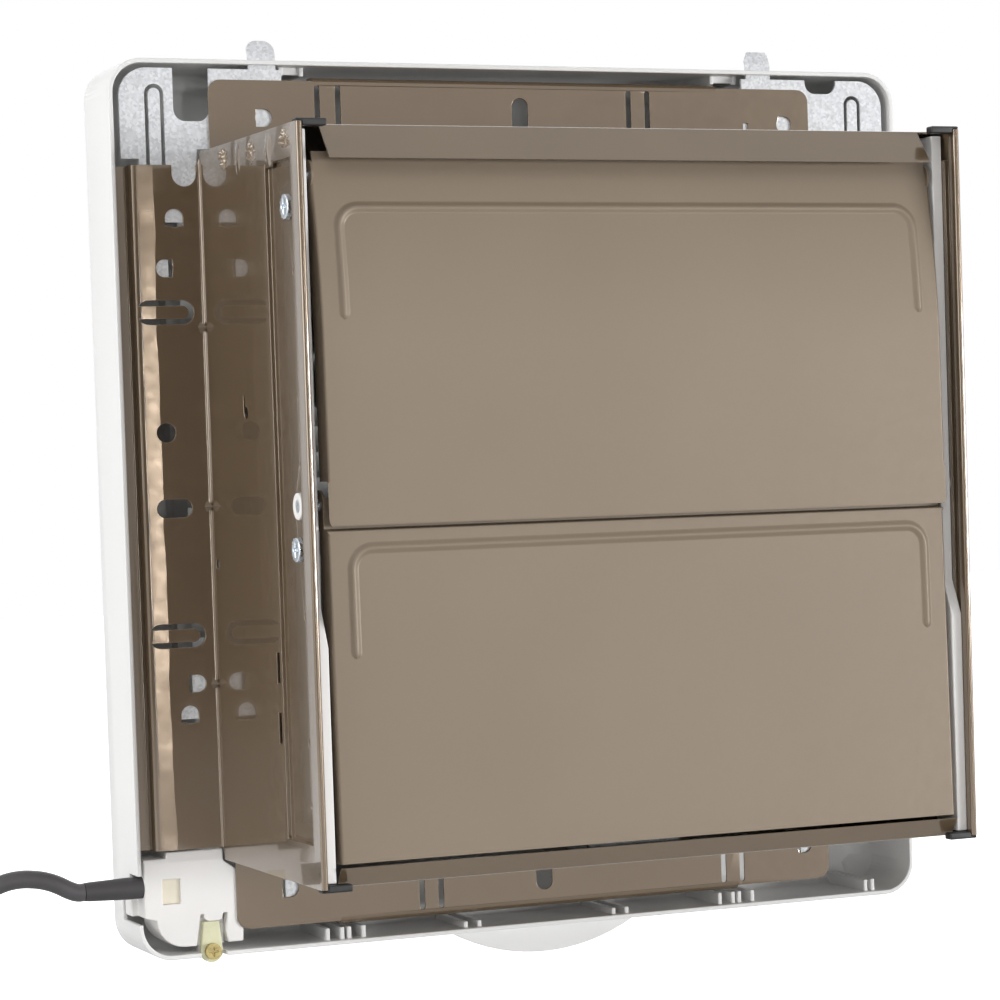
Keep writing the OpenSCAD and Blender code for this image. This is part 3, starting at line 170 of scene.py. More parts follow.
cord_d = 6.2
lead_y = 4.6
lead_z = -130
cord_exit = (-169, lead_y, lead_z)
drop_x = -226.8
lead_route = [
    cord_exit, (-171, lead_y, lead_z), (-174, lead_y, -128.9), (-177.5, lead_y, -127),
    (-181, lead_y, -125.5), (-186, lead_y, -124.3), (-192, lead_y, -124), (-198, lead_y, -125.2),
    (-204, lead_y, -128), (-210, lead_y, -132.5), (-215.5, lead_y, -138.5), (-220, lead_y, -146),
    (-223.5, lead_y, -154.5), (-225.6, lead_y, -163.5), (-226.5, lead_y, -173),
    (drop_x, lead_y, -183), (drop_x, lead_y, -193), (drop_x, lead_y, -203), (drop_x, lead_y, -210),
]
coil_z = -222
coil_r = 37.8
coil_turns = 4
coil_step = cord_d + 0.6
coil_x = drop_x + coil_r
coil_in = coil_r - coil_step * coil_turns / 2
coil_points_a_turn = 24
tail_drops = (9, 18)
for i in range(coil_turns * coil_points_a_turn + 1):
    t = i / coil_points_a_turn
    r = coil_r - coil_step * t if t < coil_turns / 2 else coil_in + coil_step * (t - coil_turns / 2)
    s = min(1, max(0, 2 * (t - coil_turns / 2) + 0.5))
    turn = math.radians(180 + 360 * t)
    lead_route.append((coil_x + r * math.cos(turn), lead_y + coil_step * s * s * (3 - 2 * s),
                       coil_z + r * math.sin(turn)))
for drop in tail_drops:
    lead_route.append((drop_x, lead_y + coil_step, coil_z - drop))

lead_curve = bpy.data.curves.new("mains_lead", "CURVE")
lead_curve.dimensions = "3D"
lead_curve.bevel_depth = cord_d / 2 * MM
lead_curve.bevel_resolution = 4
lead_curve.resolution_u = 5
lead_curve.use_fill_caps = True
lead_line = lead_curve.splines.new("BEZIER")
lead_line.bezier_points.add(len(lead_route) - 1)
for point, place in zip(lead_line.bezier_points, lead_route):
    point.co = Vector(place) * MM
    point.handle_left_type = point.handle_right_type = "AUTO"
mains_lead = bpy.data.objects.new("mains_lead", lead_curve)
finish_piece(mains_lead, "sleeve", "cord_black", cord_black, "power_cord", "cord_coil")


# Sleeve where the lead leaves the terminals: a plain taper of soft black rubber, moulded on the lead
# so that it bends gently. It is held in the wall of the terminal block.
def turned(name, profile, start, axis):
    """A piece spun from (radius, way along) points round an axis through start."""
    bm = bmesh.new()
    corners = [bm.verts.new((r * MM, 0, h * MM)) for r, h in profile]
    edges = [bm.edges.new(pair) for pair in zip(corners, corners[1:])]
    bmesh.ops.spin(bm, geom=corners + edges, cent=(0, 0, 0), axis=(0, 0, 1),
                   angle=2 * math.pi, steps=32, use_merge=True)
    bmesh.ops.remove_doubles(bm, verts=bm.verts, dist=1e-7)
    bmesh.ops.recalc_face_normals(bm, faces=bm.faces)
    upright = Vector((0, 0, 1)).rotation_difference(Vector(axis)).to_matrix().to_4x4()
    bmesh.ops.transform(bm, matrix=Matrix.Translation(Vector(start) * MM) @ upright, verts=bm.verts)
    return piece_from(name, bm)


def piece_from(name, bm, smooth_to=35):
    """A new object from a bmesh, smooth where its faces meet at less than smooth_to degrees."""
    mesh = bpy.data.meshes.new(name)
    bm.to_mesh(mesh)
    bm.free()
    mesh.shade_smooth()
    mesh.set_sharp_from_angle(angle=math.radians(smooth_to))
    piece = bpy.data.objects.new(name, mesh)
    even = piece.modifiers.new("even_shading", "WEIGHTED_NORMAL")
    even.keep_sharp = True
    return piece


sleeve_black = Finish("sleeve_rubber", tone(58, 56, 58), 0.55)
sleeve_black.shade(sleeve_black.noise(80), 0.85, 1.15)
sleeve_black.bump(sleeve_black.noise(3000), 0.00003, 0.5)
sleeve_profile = [(0, 0), (3.8, 0), (3.8, 5), (3.74, 7), (3.3, 18.6), (3.12, 20.2), (0, 20.4)]
sleeve_start = (-148.6, lead_y, lead_z)
lead_sleeve = turned("lead_sleeve", sleeve_profile, sleeve_start, (-1, 0, 0))
finish_piece(lead_sleeve, "sleeve", "black_rubber", sleeve_black, "cord_sleeve")


# Plug: black PVC moulded on the lead, with a waist for the fingers and two flat brass pins. A ribbed
# relief of soft rubber keeps the lead from being bent sharply where it enters.
def block(low, high):
    """A bmesh box between two corners, in millimetres."""
    bm = bmesh.new()
    bmesh.ops.create_cube(bm, size=1)
    size = Vector(high) - Vector(low)
    bmesh.ops.scale(bm, vec=size * MM, verts=bm.verts)
    bmesh.ops.translate(bm, vec=(Vector(low) + size / 2) * MM, verts=bm.verts)
    return bm


def join_in(bm, part):
    """Adds one bmesh to another and frees it."""
    spare = bpy.data.meshes.new("spare")
    part.to_mesh(spare)
    part.free()
    bm.from_mesh(spare)
    bpy.data.meshes.remove(spare)


def round_edges(bm, edges, width, segments=3, clamp=True):
    bmesh.ops.bevel(bm, geom=list(edges), offset=width * MM, affect="EDGES", segments=segments,
                    profile=0.5, material=-1, clamp_overlap=clamp, loop_slide=False)


tiny = 1e-6
plug_y = lead_y + coil_step
plug_top = coil_z - tail_drops[-1]
plug_half = (12, 7)
shoulder_z = plug_top - 15
waist_z = plug_top - 24
foot_z = plug_top - 36
end_z = plug_top - 42
plug_edge = 1.6
bm = block((drop_x - plug_half[0], plug_y - plug_half[1], end_z),
           (drop_x + plug_half[0], plug_y + plug_half[1], shoulder_z))
for z in (waist_z, foot_z):
    bmesh.ops.bisect_plane(bm, geom=bm.verts[:] + bm.edges[:] + bm.faces[:],
                           plane_co=(0, 0, z * MM), plane_no=(0, 0, 1))
for z, draw_in in ((shoulder_z, (0.62, 0.86, 1)), (waist_z, (0.82, 0.92, 1))):
    ring = [v for v in bm.verts if abs(v.co.z - z * MM) < tiny]
    bmesh.ops.scale(bm, vec=draw_in, verts=ring,
                    space=Matrix.Translation((-drop_x * MM, -plug_y * MM, 0)))
round_edges(bm, bm.edges, plug_edge)
plug_shell = piece_from("plug_shell", bm, 50)
finish_piece(plug_shell, "sleeve", "cord_black", cord_black, "plug_body")
relief_profile = [(0, 0), (6, 0), (6, 1.6)]
rib_count = 4
rib_pitch = 3.4
groove = 0.7
for i in range(rib_count):
    high = 5.8 - 0.55 * i
    along = 2 + rib_pitch * i
    relief_profile += [(high - groove, along), (high - groove, along + 1), (high, along + 1.3),
                       (high - 0.2, along + 3)]
relief_profile += [(3.4, 15.8), (0, 15.8)]
plug_relief = turned("plug_relief", relief_profile, (drop_x, plug_y, shoulder_z - 1), (0, 0, 1))
finish_piece(plug_relief, "sleeve", "black_rubber", sleeve_black)

brass = Finish("brass_plate", tone(178, 162, 112), 0.34, 1.0)
brass.shade(brass.noise(500), 0.85, 1.1)
brass.gloss(brass.noise(1500), 0.22, 0.4)
dress(brass, "plug_pins", "clamp_screw")


# Tie: a flat strap of black rubber, looped once round the turns at the top of the coil. It holds the
# spare lead together until the fan is wired in.
tie_w = 5
tie_ys = (0.3, 15.7)
tie_reach = (21.6, 40.4)
tie_corner_r = 4.5
tie_t = 0.7
bm = block((coil_x - tie_w / 2, tie_ys[0], coil_z + tie_reach[0]),
           (coil_x + tie_w / 2, tie_ys[1], coil_z + tie_reach[1]))
ends = [f for f in bm.faces if abs(f.normal.x) > 0.9]
bmesh.ops.delete(bm, geom=ends, context="FACES_ONLY")
lengthwise = [e for e in bm.edges if abs((e.verts[0].co - e.verts[1].co).x) > tiny]
round_edges(bm, lengthwise, tie_corner_r, 6)
coil_strap = piece_from("coil_strap", bm)
wall = coil_strap.modifiers.new("strap", "SOLIDIFY")
wall.thickness = tie_t * MM
wall.offset = -1
finish_piece(coil_strap, "sleeve", "cord_black", sleeve_black, "cord_tie")


# Sleeve of the fan: coated steel sheet, bent and clinched at the corners. The coat is a glossy
# brown that mirrors what is near it. Both side plates carry the channel, the hem and the flange.
def eased(name, node, edge, smooth_to=35, segments=2, folds=()):
    """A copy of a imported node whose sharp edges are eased, since no real edge is a knife edge.

    folds holds (radius, test) pairs for wider bends, and test takes both ends of an edge in mm.
    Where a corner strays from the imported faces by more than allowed, the edges near it stay sharp.
    """
    allowed = 0.6 * edge * MM
    spared = 1.5 * MM
    plain = bmesh.new()
    plain.from_mesh(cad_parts[node].data)
    bmesh.ops.remove_doubles(plain, verts=plain.verts, dist=tiny)
    for radius, test in folds:
        chosen = [e for e in plain.edges if test(*[v.co / MM for v in e.verts])]
        round_edges(plain, chosen, radius, 5, clamp=False)
    packed = BVHTree.FromBMesh(plain)
    torn = []
    tries = 5
    for attempt in range(tries):
        bm = plain.copy()
        sharp = [e for e in bm.edges if e.is_manifold and e.calc_face_angle() > math.radians(smooth_to)
                 and not any((v.co - spot).length < reach for v in e.verts for spot, reach in torn)]
        round_edges(bm, sharp, edge, segments, clamp=False)
        gaps = [(v.co.copy(), packed.find_nearest(v.co)[3]) for v in bm.verts]
        fresh = [(spot, gap + spared) for spot, gap in gaps if gap > allowed]
        if not fresh or attempt == tries - 1:
            break
        torn += fresh
        bm.free()
    plain.free()
    return piece_from(name, bm, smooth_to)


def near(value, *marks):
    return any(abs(value - mark) < 0.02 for mark in marks)


sheet_paint = Finish("brown_coated_sheet", tone(112, 95, 75), 0.2, 0.38)
sheet_paint.set("Coat Weight", 1)
sheet_paint.set("Coat Roughness", 0.04)
sheet_paint.shade(sheet_paint.noise(25), 0.96, 1.04)
sheet_paint.gloss(sheet_paint.noise(300), 0.16, 0.24)
sheet_paint.bump(sheet_paint.noise(60), 0.00003, 0.2)
sheet_paint.bump(sheet_paint.noise(700), 0.000006, 0.25)
# beside its rolled edge the flange is faintly hollow, which catches the light in a ragged strip
hollow_from = 0.139
hollow_to = 0.1445
hollow_depth = 0.0009
hollow_waver = 0.004
axes = sheet_paint.node("ShaderNodeSeparateXYZ")
sheet_paint.join(sheet_paint.place(), axes.inputs["Vector"])
from_middle = sheet_paint.node("ShaderNodeMath")
from_middle.operation = "ABSOLUTE"
sheet_paint.join(axes.outputs["X"], from_middle.inputs[0])
wavering = sheet_paint.node("ShaderNodeMath")
wavering.operation = "MULTIPLY_ADD"
wavering.inputs[1].default_value = hollow_waver
sheet_paint.join(sheet_paint.noise(25, 3), wavering.inputs[0])
sheet_paint.join(from_middle.outputs[0], wavering.inputs[2])
hollow = sheet_paint.spread(wavering.outputs[0], 1, 0, hollow_from, hollow_to)
sheet_paint.bump(hollow, hollow_depth)
sheet_edge = 0.2
wall_x = 120
channel_x = 118.6
channel_ys = (-97, -70)
channel_zs = (-109, 112)
channel_corner_r = 4.5
channel_rim_r = 0.7
flange_bend_r = 0.9


def channel_corner(p, q):
    return (near(p.y, *channel_ys) and near(q.y, p.y) and near(p.z, *channel_zs) and near(q.z, p.z)
            and min(abs(p.x), abs(q.x)) > channel_x - 0.02)


def channel_rim(p, q):
    inside = all(channel_ys[0] - 0.1 < v.y < channel_ys[1] + 0.1
                 and channel_zs[0] - 0.1 < v.z < channel_zs[1] + 0.1 for v in (p, q))
    on_rim = any(near(v.y, *channel_ys) or near(v.z, *channel_zs) for v in (p, q))
    return inside and on_rim and all(near(abs(v.x), wall_x) for v in (p, q)) and (p - q).length > 0.4


def flange_bend(p, q):
    return all(near(abs(v.x), wall_x) and near(v.y, 0) for v in (p, q)) and near(p.x, q.x)


folds = ((channel_corner_r, channel_corner), (channel_rim_r, channel_rim), (flange_bend_r, flange_bend))
for side in ("left", "right"):
    node = "side_plate_" + side
    finish_piece(eased(side + "_side_sheet", node, sheet_edge, folds=folds), "sleeve", "painted_sheet",
                 sheet_paint, node)


# Press joints along the top of both side plates: the punch tears through both sheets and leaves
# a crumpled rosette. Low upright ridges between them and small gussets stiffen the bends.
def add_lump(bm, side, y, z, reach_y, reach_z, height, rough, seed):
    """A low mound on a side plate's outer face, crumpled by rough. Its rim lies under the face."""
    rim_under = 0.06
    made = bmesh.ops.create_grid(bm, x_segments=18, y_segments=18, size=1)
    for v in made["verts"]:
        r = min(1, math.hypot(v.co.x, v.co.y))
        lift = height * (1 - r * r) ** 1.5
        jag = noise.noise(Vector((v.co.x * 2.9, v.co.y * 2.9, seed))) * rough * (1 - r ** 3)
        v.co = Vector((side * (wall_x + lift + jag - rim_under), y + v.co.x * reach_y,
                       z + v.co.y * reach_z)) * MM
    faces = {f for v in made["verts"] for f in v.link_faces}
    for f in faces:
        f.normal_update()
        if f.normal.x * side < 0:
            f.normal_flip()


def lump_piece(name, lumps):
    bm = bmesh.new()
    for seed, lump in enumerate(lumps):
        for side in (-1, 1):
            add_lump(bm, side, *lump, seed * 3.1)
    return piece_from(name, bm, 60)


# each lump: y, z, half its length along y and z, height, roughness
rosettes = [(-27.2, 117.2, 3, 4.2, 0.9, 2.2), (-57.3, 116.4, 3.1, 4.4, 0.9, 2.2),
            (-91.2, 117.4, 2.8, 3.8, 0.9, 2.2)]
ridges = [(-43, 115.5, 3.2, 6.3, 0.5, 0), (-75, 115.8, 4.2, 6, 0.6, 0)]
finish_piece(lump_piece("press_joints", rosettes + ridges), "sleeve", "painted_sheet", sheet_paint)

gusset_zs = (62, 0.3, -60.9)
gusset_r = 2.1
gusset_tip_r = 0.1
gusset_l = 2.4
gusset_in = 0.7
gusset_edge = 0.25
bm = bmesh.new()
for side in (-1, 1):
    for z in gusset_zs:
        made = bmesh.ops.create_cone(bm, cap_ends=True, segments=4, radius1=gusset_r * MM,
                                     radius2=gusset_tip_r * MM, depth=gusset_l * MM)
        lean = Matrix.Rotation(math.radians(90 + side * 45), 4, "Z") @ Matrix.Rotation(math.pi / 2, 4, "X")
        place = Matrix.Translation(Vector((side * (wall_x + gusset_in), -gusset_in, z)) * MM)
        bmesh.ops.transform(bm, matrix=place @ lean, verts=made["verts"])
round_edges(bm, bm.edges, gusset_edge, 2)
finish_piece(piece_from("bend_gussets", bm), "sleeve", "painted_sheet", sheet_paint)


# Top and bottom plates: the same coated sheet, with the hood strip above the shutters, the sill
# below them, and the punched flanges with a rolled edge.
plate_z = 122
hood_y = -94
sill_y = -98
front_bend_r = 0.7


def front_bend(y):
    """A test for the long edges of the bend that a plate has at y."""
    def test(p, q):
        return all(near(v.y, y) and near(abs(v.z), plate_z) for v in (p, q)) and abs(p.x - q.x) > 1
    return test


for level, y in (("top", hood_y), ("bottom", sill_y)):
    node = level + "_plate"
    folds = [(front_bend_r, front_bend(y))]
    finish_piece(eased(level + "_sheet", node, sheet_edge, folds=folds), "sleeve", "painted_sheet",
                 sheet_paint, node)


# Hook brackets: bent galvanised sheet, spot-welded behind the upper corners of the flange. The cover
# hangs on their hooks.
galvanised = Finish("galvanised_sheet", tone(212, 214, 217), 0.6, 0.2)
galvanised.shade(galvanised.cells(1100), 0.8, 1.1, 0.1, 0.9)
galvanised.gloss(galvanised.cells(700), 0.5, 0.66)
galvanised.bump(galvanised.noise(1500), 0.00002, 0.4)
for side in ("left", "right"):
    node = "hook_bracket_" + side
    finish_piece(eased(side + "_hook_bracket", node, sheet_edge), "sleeve", "zinc_sheet", galvanised, node)
dress(galvanised, "motor_strap", "capacitor_clip", "shutter_link")


# Backing plates of the same galvanised sheet, spot-welded behind the flanges. They show through the
# D-shaped knock-outs and leave a dark gap along each straight side.
# each patch: from x to x, from z to z
patch_ys = (0.82, 1.3)
patch_r = 1.5
side_patches = [(125.4, 134.4, 98, 104.5), (132.1, 138.6, 77.8, 86.8), (122.5, 128.9, -65, -56),
                (125.5, 135.1, -72.7, -66.5)]
bottom_patch_w = 6
bottom_patch_xs = (-97.9, 104.7)
bottom_patch_zs = (-139, -129)
patches = side_patches + [(-x1, -x0, z0, z1) for x0, x1, z0, z1 in side_patches]
patches += [(x, x + bottom_patch_w, *bottom_patch_zs) for x in bottom_patch_xs]
bm = bmesh.new()
for x0, x1, z0, z1 in patches:
    plate = block((x0, patch_ys[0], z0), (x1, patch_ys[1], z1))
    upright = [e for e in plate.edges if abs((e.verts[0].co - e.verts[1].co).y) > 0.1 * MM]
    round_edges(plate, upright, patch_r)
    join_in(bm, plate)
finish_piece(piece_from("backing_plates", bm), "sleeve", "zinc_sheet", galvanised)


# Shutter rails: white PVC strips that stand beside the blades, with the hinge holes in them. Each is
# screwed to its side plate.
white_plastic = Finish("white_moulding", tone(236, 234, 232), 0.38)
white_plastic.shade(white_plastic.noise(30), 0.97, 1.02)
white_plastic.gloss(white_plastic.noise(700), 0.32, 0.44)
white_plastic.bump(white_plastic.noise(2500), 0.00002, 0.3)
for side in ("left", "right"):
    node = "shutter_rail_" + side
    finish_piece(eased(side + "_shutter_rail", node, 0.4), "sleeve", "white_plastic", white_plastic, node)


# Rail screws: zinc-plated pan heads with a cross recess, two on each side. The other small hardware
# of the fan has the same plating.
zinc_plate = Finish("zinc_plating", tone(205, 214, 222), 0.25, 1.0)
zinc_plate.shade(zinc_plate.noise(1200), 0.8, 1.1)
zinc_plate.gloss(zinc_plate.noise(800), 0.18, 0.36)
finish_piece(eased("rail_screw_set", "rail_screws", 0.35, smooth_to=30, segments=3), "sleeve",
             "zinc_hardware", zinc_plate, "rail_screws")
dress(zinc_plate, "strap_screws", "motor_bolts", "drive_pin", "upper_hinge_pins", "lower_hinge_pins",
      "actuator_rivets", "actuator_plunger")


# Corner caps: black rubber pads pressed on the sleeve's front corners, where the bare edges of the
# sheet would cut. The grommet in the motor's casing is of the same rubber.
black_rubber = Finish("black_rubber_cap", tone(22, 22, 24), 0.5)
black_rubber.shade(black_rubber.noise(100), 0.8, 1.25)
black_rubber.bump(black_rubber.noise(2000), 0.00004, 0.4)
finish_piece(eased("corner_caps", "edge_caps", 0.5), "sleeve", "black_rubber", black_rubber, "edge_caps")
dress(black_rubber, "lead_grommet")


# Shutters: two pressed blades of thin sheet with a satin taupe coat. Each has a bent face, folded
# sides, a raised bead in the shape of an upside-down U, hinge ears and a crank tab on the right.
def bent_line(points, reach, steps=6):
    """Points of a line through a bend, with the bend rounded over reach to either side."""
    start, bend, end = [Vector(p) for p in points]
    before = bend + (start - bend).normalized() * reach
    after = bend + (end - bend).normalized() * reach
    curve = [before.lerp(bend, i / steps).lerp(bend.lerp(after, i / steps), i / steps)
             for i in range(steps + 1)]
    return [start] + curve + [end]


def add_strip(bm, line, half):
    """A strip along a line of (y, z) points, half wide on both sides of the centre."""
    row = [bm.verts.new((-half * MM, y * MM, z * MM)) for y, z in line]
    edges = [bm.edges.new(pair) for pair in zip(row, row[1:])]
    made = bmesh.ops.extrude_edge_only(bm, edges=edges)
    moved = [g for g in made["geom"] if isinstance(g, bmesh.types.BMVert)]
    bmesh.ops.translate(bm, vec=(2 * half * MM, 0, 0), verts=moved)


def level_at(line, z):
    """The y of a line of (y, z) points, read from the top down, at height z."""
    for (y0, z0), (y1, z1) in zip(line, line[1:]):
        if z1 <= z:
            break
    return y0 + (y1 - y0) * (z0 - z) / (z0 - z1)


bead_half = 106.6
bead_r = 9
bead_w = 4.3
bead_h = 0.9
bead_sunk = 0.04


def add_bead(bm, face, top_z, leg):
    """Sweeps a rounded ridge up one leg, round both corners and down the other leg, on a face."""
    before = set(bm.verts)
    count = 10
    section = []
    for i in range(count + 1):
        across = -1 + 2 * i / count
        height = bead_h * (0.5 + 0.5 * math.cos(math.pi * across)) - bead_sunk
        section.append(bm.verts.new((across * bead_w / 2 * MM, -height * MM, 0)))
    section_edges = [bm.edges.new(pair) for pair in zip(section, section[1:])]
    x0 = -bead_half + bead_w / 2
    left_end = Vector((x0, 0, -leg)) * MM
    right_end = Vector((-x0, 0, -leg)) * MM
    bmesh.ops.translate(bm, vec=left_end, verts=section)

    def onward(vec, verts, edges):
        made = bmesh.ops.extrude_edge_only(bm, edges=edges)["geom"]
        new_verts = [g for g in made if isinstance(g, bmesh.types.BMVert)]
        new_edges = [g for g in made if isinstance(g, bmesh.types.BMEdge)]
        bmesh.ops.translate(bm, vec=vec, verts=new_verts)
        return new_verts, new_edges

    # the closed end of a leg shrinks to a point in three steps
    def close_end(verts, edges, centre):
        for step, size in ((0.9, 0.86), (0.75, 0.6), (0.5, 0.05)):
            down = Vector((0, 0, -step * MM))
            verts, edges = onward(down, verts, edges)
            centre = centre + down
            bmesh.ops.scale(bm, vec=(size, size, 1), verts=verts,
                            space=Matrix.Translation(-centre))

    close_end(section, section_edges, left_end)
    verts, edges = section, section_edges
    leg_steps = 8
    for step in range(leg_steps):
        verts, edges = onward((0, 0, (leg - bead_r) / leg_steps * MM), verts, edges)
    for corner_x, span in ((-bead_half + bead_r, 2 * (bead_half - bead_r)), (bead_half - bead_r, 0)):
        turned_round = bmesh.ops.spin(bm, geom=verts + edges, cent=(corner_x * MM, 0, -bead_r * MM),
                                      axis=(0, 1, 0), angle=math.radians(90), steps=8)
        verts = [g for g in turned_round["geom_last"] if isinstance(g, bmesh.types.BMVert)]
        edges = [g for g in turned_round["geom_last"] if isinstance(g, bmesh.types.BMEdge)]
        if span:
            verts, edges = onward((span * MM, 0, 0), verts, edges)
    for step in range(leg_steps):
        verts, edges = onward((0, 0, -(leg - bead_r) / leg_steps * MM), verts, edges)
    close_end(verts, edges, right_end)
    for v in bm.verts:
        if v not in before:
            v.co.z += top_z * MM
            v.co.y += level_at(face, v.co.z / MM) * MM


def add_disc(bm, r, x0, x1, y, z):
    made = bmesh.ops.create_cone(bm, cap_ends=True, segments=24, radius1=r * MM, radius2=r * MM,
                                 depth=(x1 - x0) * MM)
    place = Matrix.Translation(Vector(((x0 + x1) / 2, y, z)) * MM) @ Matrix.Rotation(math.pi / 2, 4, "Y")
    bmesh.ops.transform(bm, matrix=place, verts=made["verts"])


blade_half = 112.5
blade_t = 0.8
tongue_half = 111.5
corner_r = 3
fold_depth = 8
fold_r = 0.9
edge_strip = 1.8
hinge_y = -90.5
hinge_ear_r = 5
crank_y = -76.5
crank_ear_r = 3.5


def shutter(name, node, body, line, fold, fold_round, bead_top, bead_leg, hinge_z, finish, tongue=None):
    """One blade: face, side folds and bead as a sheet with a wall, then its ears and crank tab.

    The folds run between both heights of fold and are rounded below fold_round. tongue is how far
    the middle of the top edge reaches up behind the hood.
    """
    bm = bmesh.new()
    add_strip(bm, line, blade_half)
    high, low = fold
    for x in (-blade_half + edge_strip, -tongue_half, tongue_half, blade_half - edge_strip):
        bmesh.ops.bisect_plane(bm, geom=bm.verts[:] + bm.edges[:] + bm.faces[:],
                               plane_co=(x * MM, 0, 0), plane_no=(1, 0, 0), dist=tiny)
    for z in {*fold, fold_round}:
        bmesh.ops.bisect_plane(bm, geom=bm.verts[:] + bm.edges[:] + bm.faces[:],
                               plane_co=(0, 0, z * MM), plane_no=(0, 0, 1), dist=tiny)
    if tongue:
        top = [e for e in bm.edges if e.is_boundary
               and all(near(v.co.z / MM, line[0][1]) and abs(v.co.x) < (tongue_half + 0.1) * MM
                       for v in e.verts)]
        raised = bmesh.ops.extrude_edge_only(bm, edges=top)
        moved = [g for g in raised["geom"] if isinstance(g, bmesh.types.BMVert)]
        bmesh.ops.translate(bm, vec=Vector(tongue) * MM, verts=moved)
    sides = [e for e in bm.edges if e.is_boundary
             and all(abs(abs(v.co.x) - blade_half * MM) < tiny for v in e.verts)
             and low * MM - tiny < min(v.co.z for v in e.verts)
             and max(v.co.z for v in e.verts) < high * MM + tiny]
    folded = bmesh.ops.extrude_edge_only(bm, edges=sides)
    moved = [g for g in folded["geom"] if isinstance(g, bmesh.types.BMVert)]
    bmesh.ops.translate(bm, vec=(0, fold_depth * MM, 0), verts=moved)
    rounded = [e for e in sides if max(v.co.z for v in e.verts) < fold_round * MM + tiny]
    round_edges(bm, rounded, fold_r, 4)
    if low > line[-1][1]:
        corners = [v for v in bm.verts if near(v.co.z / MM, line[-1][1])
                   and near(abs(v.co.x) / MM, blade_half)]
        bmesh.ops.bevel(bm, geom=corners, offset=corner_r * MM, affect="VERTICES", segments=5,
                        profile=0.5, material=-1)
    bmesh.ops.recalc_face_normals(bm, faces=bm.faces)
    front = max(bm.faces, key=lambda f: f.calc_area())
    if front.normal.y > 0:
        bmesh.ops.reverse_faces(bm, faces=bm.faces)
    before = set(bm.faces)
    add_bead(bm, line, bead_top, bead_leg)
    ridge = [f for f in bm.faces if f not in before]
    bmesh.ops.recalc_face_normals(bm, faces=ridge)
    if max(ridge, key=lambda f: f.calc_area()).normal.y > 0:
        bmesh.ops.reverse_faces(bm, faces=ridge)
    bmesh.ops.solidify(bm, geom=bm.faces[:], thickness=blade_t * MM)
    for sign in (-1, 1):
        inner, outer = sorted((sign * (blade_half - blade_t), sign * blade_half))
        add_disc(bm, hinge_ear_r, inner, outer, hinge_y, hinge_z)
    add_disc(bm, crank_ear_r, blade_half - blade_t, blade_half, crank_y, hinge_z)
    tab = block((blade_half - blade_t, hinge_y, hinge_z - crank_ear_r),
                (blade_half, crank_y, hinge_z + crank_ear_r))
    join_in(bm, tab)
    finish_piece(piece_from(name, bm, 40), body, "painted_blade", finish, node)


blade_paint = Finish("taupe_satin_coat", tone(129, 115, 98), 0.48, 0.12)
blade_paint.shade(blade_paint.noise(14), 0.97, 1.03)
blade_paint.gloss(blade_paint.noise(500), 0.44, 0.52)
blade_paint.bump(blade_paint.noise(1400), 0.00002, 0.25)
upper_line = bent_line([(-93.5, 108), (-100, 72), (-101.2, -6.3)], 24)
shutter("upper_blade_sheet", "upper_shutter", "upper_blade", upper_line, fold=(108, 8), fold_round=108,
        bead_top=97.6, bead_leg=36, hinge_z=106, finish=blade_paint, tongue=(0, 1, 5.5))
# the top of the lower blade is set back behind the upper one, which leaves a dark line between them
set_back = (-95.4, -7.2)
lower_line = [Vector((-94.8, 3))] + bent_line([set_back, (-98.9, -7.8), (-101.5, -114.4)], 0.5)
shutter("lower_blade_sheet", "lower_shutter", "lower_blade", lower_line, fold=(0, -114.4), fold_round=-9,
        bead_top=-11.5, bead_leg=35.5, hinge_z=0.3, finish=blade_paint)


# Terminal block: white heat-proof moulding in the lower left corner, with a beige window, a
# translucent clamp that holds the lead, and a brass screw.
finish_piece(eased("terminal_moulding", "terminal_block", 0.5, segments=3), "sleeve", "white_plastic",
             white_plastic, "terminal_block")
beige = Finish("beige_window", tone(232, 225, 206), 0.45)
beige.shade(beige.noise(200), 0.96, 1.03)
dress(beige, "terminal_insert", "actuator_housing")
clamp_resin = Finish("clamp_resin", tone(222, 221, 188), 0.35)
clamp_resin.shade(clamp_resin.noise(300), 0.92, 1.05)
clamp_resin.set("Subsurface Weight", 0.4)
clamp_resin.set("Subsurface Radius", (0.002, 0.002, 0.0012))
finish_piece(eased("cord_clamp_piece", "cord_clamp", 0.4, segments=3), "sleeve", "clamp_plastic",
             clamp_resin, "cord_clamp")


# Cover on the room side: a white moulded tray with ribs and a finger tab, which hangs on both hooks.
# Its grille is a moulding of its own, pushed into the tray's opening.
cover_white = Finish("cover_moulding", tone(231, 231, 230), 0.4)
cover_white.shade(cover_white.noise(20), 0.98, 1.01)
cover_white.gloss(cover_white.noise(600), 0.34, 0.46)
cover_white.bump(cover_white.noise(2200), 0.00002, 0.25)
finish_piece(eased("cover_tray", "cover_frame", 0.35, smooth_to=50), "cover", "white_plastic",
             cover_white, "cover_frame")
finish_piece(eased("cover_grille", "front_grille", 0.3), "cover", "white_plastic", cover_white,
             "front_grille")


# Orifice and wheel: a white moulded ring leads the air to a pale wheel with five blades. The wheel
# turns with the shaft through a pin, and a nut holds it.
dress(white_plastic, "orifice_plate", "orifice_collar", "spinner_nut")
wheel_resin = Finish("wheel_resin", tone(214, 221, 220), 0.35)
wheel_resin.shade(wheel_resin.noise(40), 0.95, 1.03)
wheel_resin.bump(wheel_resin.noise(1800), 0.00002, 0.3)
dress(wheel_resin, "fan_wheel")


